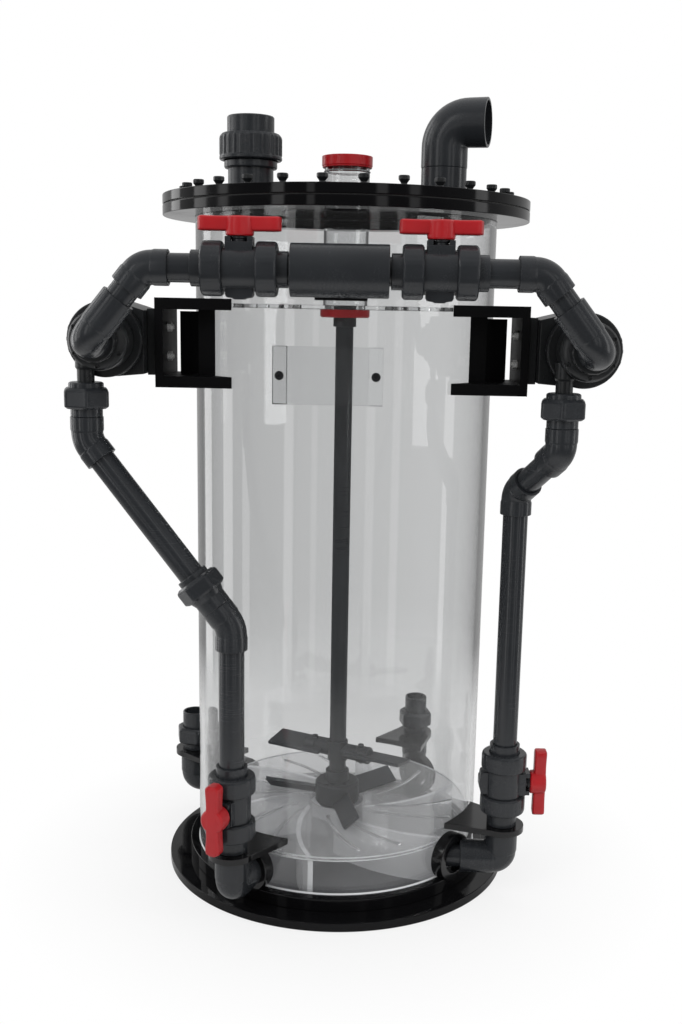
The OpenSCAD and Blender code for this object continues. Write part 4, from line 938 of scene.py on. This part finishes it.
class BIOREACTOR_OT_header(PieceOperator, bpy.types.Operator):
    """Tee, pipes and bends of the header, with its saddle block"""

    bl_idname = "bioreactor.header"
    bl_label = "Header"

    def build(self):
        s = in_mm("pipe_sizes")
        y, z = -s.header_front, s.header_height
        mid, mouth = Vector((0, y, z)), s.pipe + PIPE_FIT
        form = Form()
        form.turned([(mouth, 51), (mouth, 55), (29.4, 55), (29.4, -55), (mouth, -55), (mouth, -51)],
                    along(mid, RIGHT), 80, 1.5)
        form.turned([(20, 10), (29.4, 10), (29.4, 55), (24.3, 55), (24.3, 50), (20, 50)],
                    along(mid, BACK), 80, 1.5)
        form.piece("header_tee_moulded", "Moulded fitting", ["header_tee"])
        form = Form()
        tube = reach_of("vessel_tube")
        pipe(form, mid + BACK * 40, Vector((0, -tube + 3, z)), 24)
        bends = Form()
        for side, bend, pump, drop in ((-1, s.bend_left, s.pump_left, 0),
                                       (1, s.bend_right, s.pump_right, s.right_drop)):
            pipe(form, mid + RIGHT * side * 40, mid + RIGHT * side * (s.valve - IN_VALVE))
            corner = Vector((side * bend, y, z))
            lower = Vector((side * pump, y, s.pump_height - drop))
            run = (lower - corner).normalized()
            pipe(form, mid + RIGHT * side * (s.valve + IN_VALVE), corner - RIGHT * side * IN_HALF)
            pipe(form, corner + run * IN_HALF, lower - run * IN_QUARTER)
            elbow(bends, corner, -RIGHT * side, run, s.half_leg)
            elbow(bends, lower, -run, BACK, s.quarter_leg, s.sleeve)
        form.piece("header_pipes_drawn", "Drawn pipe", ["header_pipes"])
        bends.piece("header_bends", "Moulded fitting", ["suction_elbows"])
        dress("Gloss black sheet", "header_saddle")


class BIOREACTOR_OT_valves(PieceOperator, bpy.types.Operator):
    """Valve barrels, union nuts, end connectors, balls and red levers"""

    bl_idname = "bioreactor.valves"
    bl_label = "Ball valves"

    def build(self):
        s = in_mm("pipe_sizes")
        barrels, unions = Form(), Form()
        for body, place in valve_places().items():
            self.barrel(barrels, place)
            for flip in (0, 180):
                self.union(unions, place @ around(flip, "X"), s)
            form = Form()
            self.lever(form, place)
            form.piece(f"{body}_lever", "Lever red", [f"{body}_handle"], body=body, bevel=0.5)
            dress("Moulded fitting", f"{body}_ball")
        bodies = [f"{body}_body" for body in valve_places()]
        barrels.piece("valve_barrels", "Moulded fitting", bodies, bevel=0.6)
        unions.piece("valve_couplings", "Moulded fitting", ["valve_unions"])

    def barrel(self, form, place):
        """Barrel with its stem boss, lugs beside the stem and a foot below."""
        form.turned([(13, -26), (24, -26), (24, -18.6), (24.5, -18), (24.5, 18), (24, 18.6),
                     (24, 26), (13, 26)], place, 72, 0.5)
        stem = place @ around(90, "Y")
        form.block((-15.3, -14, 15), (15.3, 14, 29), stem)
        for side in (-1, 1):
            form.block((side * 12.2 - 3.1, -12, 27), (side * 12.2 + 3.1, 12, 34.6), stem)
        form.turned([(6.2, 27), (8.6, 27), (8.6, 31.8), (10.2, 32.8), (10.2, 34.9), (6.2, 34.9)],
                    stem, 40, 0.4)
        half_foot = [(5.4, -33.2), (7, -32), (13.5, -31), (15.4, -28), (15.4, -15)]
        form.prism([(-x, z) for x, z in reversed(half_foot)] + half_foot, -11, 11,
                   stem @ axes((0, 0, 0), RIGHT, UP, -BACK))

    def union(self, form, place, s):
        """Knurled union nut and end connector on one end of a barrel."""
        mouth = s.pipe + PIPE_FIT
        form.turned([(24.15, 18.3), (27.8, 18.3), (29.6, 19.8), (30, 21.6, 1), (30, 38.4, 1),
                     (29.4, 40.4, 0.5), (27.6, 42), (20.3, 42), (20.3, 30), (24.15, 30)],
                    place, 120, 0.9, lambda a: 1 + 0.006 * (1 if cos(10 * a) > 0.2 else -1))
        form.turned([(14, 30), (20, 30), (20, 54), (mouth, 54), (mouth, 51), (14, 51)],
                    place, ROUND)

    def lever(self, form, place):
        """Winged bar: swelling wings on a round hub that drops over the stem."""
        stem = place @ around(90, "Y")
        half, steps = 46, 16
        sections = []
        for k in range(2 * steps + 1):
            t = -1 + k / steps
            far = abs(t)
            wide = 9.6 - 1.0 * sin(pi * min(1.0, far * 1.25)) + 0.2 * far
            end = max(0.0, (far - 0.9) / 0.1)
            wide *= (1 - 0.55 * end ** 2)
            low = 40.4 + 0.7 * end
            high = 57 - 1.6 * end ** 2 - 0.5 * sin(pi * far)
            loop = []
            for c, q in circle(24):
                across = wide * abs(c) ** 0.45 * (1 if c > 0 else -1)
                rise = (high - low) / 2 * (abs(q) ** 0.35 * (1 if q > 0 else -1))
                loop.append(stem @ Vector((t * half, across, (high + low) / 2 + rise)))
            sections.append(loop)
        form.lofted(sections)
        form.turned([(6.2, 35.4), (14.6, 35.4), (15.6, 37), (16.4, 44), (15.4, 54.8), (13.4, 56.4),
                     (6.4, 56.4), (5.2, 55.4), (0, 55.4)], stem, ROUND, 0.9, closed=False)


class BIOREACTOR_OT_pumps(PieceOperator, bpy.types.Operator):
    """Pump housings and motors on their brackets"""

    bl_idname = "bioreactor.pumps"
    bl_label = "Pumps"

    def build(self):
        s = in_mm("pipe_sizes")
        pumps = (("left", -s.pump_left, 0, s.spout_left, 1),
                 ("right", s.pump_right, s.right_drop, s.spout_right, -1))
        for side, x, drop, spout, inward in pumps:
            place = axes((x, -s.volute, s.pump_height - drop), RIGHT, DOWN, BACK)
            form = Form()
            self.housing(form, place, spout, s)
            form.piece(f"{side}_pump_volute", "Moulded black", [f"{side}_pump_housing"], bevel=0.7)
            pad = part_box(f"{side}_pump_motor")
            reach = abs((pad[1].x if inward > 0 else pad[0].x) / MM - x)
            form = Form()
            self.motor(form, place, inward, reach)
            form.piece(f"{side}_pump_can", "Moulded black", [f"{side}_pump_motor"], bevel=0.9)
            dress("Turned grey", f"{side}_pump_impeller")

    def housing(self, form, place, spout, s):
        """Wet end: domed front, clamp ring with grip bars, inlet collar and spout."""
        form.turned([(15, 0), (24, 0), (29, 1.2), (33, 3.6), (35.4, 7), (36, 12), (36, 40),
                     (10, 40)], place, 96, 0.9)
        form.turned([(30, 42.2), (44, 42.2), (45.6, 43.4), (45.6, 56.6), (44, 58), (10, 58)],
                    place, 128, 0.8)
        for turn in (0, 18, 162, 180, 198, 342):
            form.block((43, -2.2, 43.4), (45.9, 2.2, 56.6), place @ around(turn))
        mouth = s.pipe + 0.1
        form.turned([(mouth, -18.6), (24, -18.6), (25.5, -16.6, 1), (25.5, -5, 1), (23.6, -3.2),
                     (21, -2.8), (19.4, 0.2), (mouth, 0.2)], place, 128, 0.8, ribs(14, 0.03))
        for turn in range(30, 390, 60):
            form.turned([(0, 6), (3.1, 6), (3.1, 1.2), (2.5, 0.6), (1.5, 0.6), (1.4, 1.9),
                         (0, 1.9)], place @ Matrix.Translation(plan(turn) * 30.5), 24, 0.3)
        out = place @ Matrix.Translation((-spout, 0, 29)) @ around(-90, "X")
        form.turned([(7.5, 14), (12.4, 14), (12.4, 33), (10.5, 35.5), (10.4, 50.8), (7.5, 50.8)],
                    out, 48)

    def motor(self, form, place, inward, reach):
        """Finned can with a foot that tapers to the bracket's pad."""
        front, end, core, pitch = 58.3, 168.6, 39.8, 9.6
        fins = []
        z = front + 10
        while z < 150:
            fins += [(core, z), (41, z + 0.8), (43.4, z + 1.2), (43.4, z + 3.6), (41, z + 4),
                     (core, z + 4.8)]
            z += pitch
        form.turned([(0, front), (42.4, front), (42.4, 63), (core, 64.5), *fins, (core, z),
                     (42, z + 2), (42, 167), (37, 170.2), (24, 170.2), (23, end), (0, end)],
                    place, 112, 0.5)
        inner, sag = reach - 10, 3.3
        form.prism([(0, -45.5), (inward * 12, -45), (inward * inner, sag - 38.6),
                    (inward * inner, sag + 38.6), (inward * 12, 45), (0, 45.5)], 64, end, place)
        low, high = sorted((inward * inner, inward * reach))
        form.block((low, sag - 40.8, 87), (high, sag + 40.8, end), place)


class BIOREACTOR_OT_brackets(PieceOperator, bpy.types.Operator):
    """Black sheet brackets and their bright bolts"""

    bl_idname = "bioreactor.brackets"
    bl_label = "Brackets"

    def build(self):
        dress("Satin black sheet", "left_bracket", "right_bracket")
        dress("Bright steel", "bracket_bolts")


class BIOREACTOR_OT_discharge(PieceOperator, bpy.types.Operator):
    """Discharge lines from the pumps down to the lower valves"""

    bl_idname = "bioreactor.discharge"
    bl_label = "Discharge lines"

    def build(self):
        s = in_mm("pipe_sizes")
        pipes = Form()
        y = -(s.volute - 29)
        nozzle = s.pump_height - 51
        # Side, place along X, nozzle's height, heights of the two bends, port, turn of the nut
        lines = (("left", -s.pump_left - s.spout_left, nozzle, 624, 400, 1, 14),
                 ("right", s.pump_right - s.spout_right, nozzle - s.right_drop, 621, 560, 0, -9))
        for name, x, mouth, high, low, port, nut_turn in lines:
            fittings = Form()
            foot = plan(port_bearing(port)) * s.port
            upper, lower = Vector((x, y, high)), foot + UP * low
            run = (lower - upper).normalized()
            self.pump_union(fittings, Vector((x, y, 0)), mouth, high + s.half_leg, nut_turn, s)
            elbow(fittings, upper, UP, run, s.half_leg)
            elbow(fittings, lower, -run, DOWN, s.half_leg)
            if name == "left":
                self.line_union(fittings, lower - run * (s.half_leg + 26), -run, s)
            pipe(pipes, upper + run * IN_HALF, lower - run * IN_HALF)
            pipe(pipes, lower - UP * IN_HALF, foot + UP * (s.lower_valve + IN_VALVE))
            pipe(pipes, foot + UP * (s.lower_valve - IN_VALVE),
                 foot + UP * (s.port_height + IN_QUARTER))
            fittings.piece(f"{name}_discharge_moulded", "Moulded fitting",
                           [f"{name}_discharge_fittings"])
        rear_top = top_of("gusset_plates") - s.port_height + 16
        for port, (corner, inward, _) in enumerate(port_places(s)):
            cut_pipe(pipes, corner + inward * (PORT_ELBOW["leg"] - 4), inward)
            if port in REAR_PORTS:
                pipe(pipes, corner + UP * IN_QUARTER, corner + UP * rear_top)
        pipes.piece("lower_pipes_drawn", "Drawn pipe", ["lower_pipes"])

    def pump_union(self, form, foot, nozzle, socket_top, nut_turn, s):
        """Tail, nut and body that join a pump's spout to the line below it."""
        place = Matrix.Translation(foot)
        nut_top, nut_height = nozzle - 6, 25
        form.turned([(10.8, nozzle + 0.8), (18.5, nozzle + 0.8), (20.6, nozzle - 0.4),
                     (21, nozzle - 2), (21, nut_top - 6), (10.8, nut_top - 6)], place, ROUND, 0.9)
        hex_nut(form, place @ around(nut_turn), nut_top - nut_height, nut_top, s.nut + 0.4, 20)
        form.ring(12, 19.2, nut_top - 20, socket_top + 0.3, place, soft=0.7)

    def line_union(self, form, point, up_line, s):
        """Union part of the way along a pipe."""
        place, mouth = along(point, up_line), s.pipe + PIPE_FIT
        form.turned([(mouth, -26), (19.4, -26), (20, -24.5), (20, -11), (22.8, -4), (22.8, 0),
                     (mouth, 0)], place, ROUND, 0.7)
        hex_nut(form, place @ around(15), -4, 19, s.nut, 20)
        form.turned([(mouth, 10), (20, 10), (20, 24.5), (19.4, 26), (mouth, 26)], place, ROUND, 0.7)


class BIOREACTOR_OT_ports(PieceOperator, bpy.types.Operator):
    """Bottom ports: elbows, saddle rings, gussets and the open rear unions"""

    bl_idname = "bioreactor.ports"
    bl_label = "Bottom ports"

    def build(self):
        s = in_mm("pipe_sizes")
        bends, rings, unions = Form(), Form(), Form()
        tube = reach_of("vessel_tube")
        for port, (corner, inward, pierce) in enumerate(port_places(s)):
            elbow(bends, corner, inward, UP, **PORT_ELBOW)
            if port in FRONT_PORTS:
                bends.ring(s.pipe + 0.3, s.socket, 104.3, 113,
                           Matrix.Translation((corner.x, corner.y, 0)), soft=0.6)
            rings.ring(21, 33, tube - 3, tube + 14.5, along(UP * s.port_height, pierce), 96, 1.2)
        bends.piece("port_bends", "Moulded fitting", ["port_elbows"])
        rings.piece("port_collars", "Gloss black sheet", ["port_rings"])
        foot, mouth = span_of("rear_unions")
        seat, bore = s.pipe + 0.2, s.pipe + 0.1
        for port in REAR_PORTS:
            place = Matrix.Translation(plan(port_bearing(port)) * s.port)
            unions.turned([(seat, foot), (19.6, foot), (20, foot + 1.2), (20, foot + 13),
                           (seat, foot + 13)], place, ROUND, 0.6)
            hex_nut(unions, place @ around(12), foot + 11, foot + 36, s.nut, 19.3)
            unions.turned([(13.6, mouth - 40), (19, mouth - 40), (19, mouth - 1.4), (18.2, mouth),
                           (s.pipe + 0.7, mouth), (bore, mouth - 1), (bore, mouth - 18),
                           (13.6, mouth - 18)], place, ROUND, 0.5)
        unions.piece("rear_unions_moulded", "Moulded fitting", ["rear_unions"])
        dress("Gloss black sheet", "gusset_plates")


# ---- Stage ----


# Tall windows of the room: bearing from the front in degrees, width in degrees, strength
WINDOWS = [(-128, 12, 2.0), (-98, 10, 2.4), (-78, 6, 1.7), (-40, 6, 2.0), (-20, 3, 1.0),
           (22, 5, 1.2), (42, 5, 1.2), (90, 9, 2.0)]
# Floor, in metres from the middle: where the object's shadow and the floor itself fade out, and
# its rim
SHADOW, FADE, FLOOR_RIM = (0.26, 0.48), (0.7, 1.2), 1.25
# Softboxes: place and size in metres, power in watts
SOFTBOXES = {
    "Key softbox": ((-1.5, -2.0, 2.1), (1.3, 1.3), 34),
    "Right softbox": ((2.2, -1.0, 1.2), (1.0, 1.8), 18),
    "Top softbox": ((0.2, 0.3, 2.9), (1.8, 1.8), 22),
}


class BIOREACTOR_OT_stage(PieceOperator, bpy.types.Operator):
    """Camera, floor, world and studio lamps"""

    bl_idname = "bioreactor.stage"
    bl_label = "Stage"

    def build(self):
        self.camera()
        self.floor()
        self.world()
        self.lamps()
        bpy.context.scene.view_settings.view_transform = "Standard"

    def camera(self):
        data = bpy.data.cameras.new("Studio camera")
        data.lens, data.sensor_width = 41.38, 36.0
        data.shift_x, data.shift_y = -0.0157, 0.0322
        data.clip_start, data.clip_end = 0.05, 50
        camera = bpy.data.objects.new("Studio camera", data)
        place = (0.0356, -1.627, 0.7901)
        yaw, pitch, roll = radians(-0.46), radians(11.47), radians(1.11)
        ahead = Vector((sin(yaw) * cos(pitch), cos(yaw) * cos(pitch), -sin(pitch)))
        level = Vector((cos(yaw), -sin(yaw), 0))
        top = level.cross(ahead)
        right = level * cos(roll) + top * sin(roll)
        camera.matrix_world = axes(place, right, right.cross(ahead), -ahead)
        bpy.context.scene.collection.objects.link(camera)
        bpy.context.scene.camera = camera

    def floor(self):
        """White floor that fades out at its rim and keeps the object's shadow."""
        form = bmesh.new()
        bmesh.ops.create_circle(form, cap_ends=True, segments=96, radius=FLOOR_RIM)
        mesh = bpy.data.meshes.new("Studio floor")
        form.to_mesh(mesh)
        form.free()
        floor = bpy.data.objects.new("Studio floor", mesh)
        floor.location.z = -0.0004
        bpy.context.scene.collection.objects.link(floor)
        t, shader = new_finish("Studio floor")
        shader.inputs["Roughness"].default_value = 0.9
        shader.inputs["Specular IOR Level"].default_value = 0.1
        pale, white = (0.72, 0.72, 0.72), (0.78, 0.78, 0.78)
        t.feed(shader.inputs["Base Color"], t.mix(t.noise(3.0), pale, white))
        length_of = t.node("ShaderNodeVectorMath", operation="LENGTH")
        away = t.feed_all(length_of, [t.place()], result="Value")
        rays = t.node("ShaderNodeLightPath").outputs
        glow = t.node("ShaderNodeEmission",
                      Strength=t.spread(rays["Is Camera Ray"], 0, 1, 0.7, 1.0))
        seen = t.maths("MAXIMUM", rays["Is Camera Ray"], rays["Is Transmission Ray"])
        share = t.maths("MULTIPLY", seen, t.spread(away, *SHADOW, 0.8, 1.0))
        lit = t.blend(share, shader.outputs[0], glow.outputs[0])
        clear = t.node("ShaderNodeBsdfTransparent").outputs[0]
        t.surface(t.blend(t.spread(away, *FADE), lit, clear))
        mesh.materials.append(FINISHES["Studio floor"])

    def world(self):
        """White to the camera. Gloss mirrors a dim room with windows, and clear sheet a wall."""
        world = bpy.data.worlds.new("Studio")
        bpy.context.scene.world = world
        world.use_nodes = True
        t = Tree(world.node_tree)
        back = t.tree.nodes["Background"]
        ray = t.parts(t.node("ShaderNodeTexCoord").outputs["Generated"])
        room = t.spread(ray["Y"], -0.55, 0.75, 0.08, 0.5)
        overhead = t.spread(ray["Z"], 0.2, 0.9, 0.0, 0.22)
        bearing = t.maths("ARCTAN2", ray["X"], t.maths("MULTIPLY", ray["Y"], -1.0))
        height = t.maths("ABSOLUTE", t.maths("SUBTRACT", ray["Z"], 0.12))
        tall = t.spread(height, 0.4, 0.46, 1.0, 0.0)
        soft = 1.5
        for middle, width, strength in WINDOWS:
            off = t.maths("ABSOLUTE", t.maths("SUBTRACT", bearing, radians(middle)))
            pane = t.spread(off, radians(width / 2), radians(width / 2 + soft), strength, 0.0)
            room = t.maths("ADD", room, t.maths("MULTIPLY", pane, tall))
        rays = t.node("ShaderNodeLightPath").outputs
        wall = t.spread(ray["X"], -0.14, 0.1, 0.57, 0.71)
        wall = t.maths("MULTIPLY", wall, t.spread(rays["Glossy Depth"], 0, 1, 1.0, 0.22))
        level = t.choose(rays["Is Glossy Ray"], 0.55, t.maths("ADD", room, overhead))
        level = t.choose(rays["Is Transmission Ray"], level, wall)
        back.inputs["Color"].default_value = (1.0, 1.0, 1.0, 1.0)
        t.feed(back.inputs["Strength"], t.maths("MAXIMUM", level, rays["Is Camera Ray"]))

    def lamps(self):
        aim = Vector((0, 0, 0.55))
        for name, (place, size, power) in SOFTBOXES.items():
            data = bpy.data.lights.new(name, "AREA")
            data.shape, data.size, data.size_y = "RECTANGLE", size[0], size[1]
            data.energy = power
            lamp = bpy.data.objects.new(name, data)
            lamp.visible_glossy = False
            lamp.location = place
            lamp.rotation_euler = (aim - Vector(place)).to_track_quat("-Z", "Y").to_euler()
            bpy.context.scene.collection.objects.link(lamp)


OPERATORS = [
    BIOREACTOR_OT_stage,
    BIOREACTOR_OT_plates,
    BIOREACTOR_OT_column,
    BIOREACTOR_OT_thumbscrews,
    BIOREACTOR_OT_neck_cap,
    BIOREACTOR_OT_stirrer,
    BIOREACTOR_OT_nameplate,
    BIOREACTOR_OT_outlet_union,
    BIOREACTOR_OT_vent,
    BIOREACTOR_OT_header,
    BIOREACTOR_OT_valves,
    BIOREACTOR_OT_pumps,
    BIOREACTOR_OT_brackets,
    BIOREACTOR_OT_discharge,
    BIOREACTOR_OT_ports,
]


class BIOREACTOR_PT_panel(bpy.types.Panel):
    """Pieces, sizes and colours of the bench bioreactor"""

    bl_idname = "BIOREACTOR_PT_panel"
    bl_label = "Bench Bioreactor"
    bl_space_type = "VIEW_3D"
    bl_region_type = "UI"
    bl_category = "Bioreactor"

    def draw(self, context):
        """Buttons for the pieces, then the sizes and the colours."""
        layout = self.layout
        for operator in OPERATORS:
            layout.operator(operator.bl_idname)
        for name, group in SIZE_GROUPS.items():
            box = layout.box()
            for key in group.__annotations__:
                box.prop(getattr(context.scene, name), key)


CLASSES = [*SIZE_GROUPS.values(), *OPERATORS, BIOREACTOR_PT_panel]


def register():
    for cls in CLASSES:
        bpy.utils.register_class(cls)
    for name, group in SIZE_GROUPS.items():
        setattr(bpy.types.Scene, name, PointerProperty(type=group))


def unregister():
    for name in SIZE_GROUPS:
        delattr(bpy.types.Scene, name)
    for cls in reversed(CLASSES):
        bpy.utils.unregister_class(cls)


def main():
    register()
    make_finishes()
    for operator in OPERATORS:
        category, name = operator.bl_idname.split(".")
        getattr(getattr(bpy.ops, category), name)()


if __name__ == "__main__":
    main()
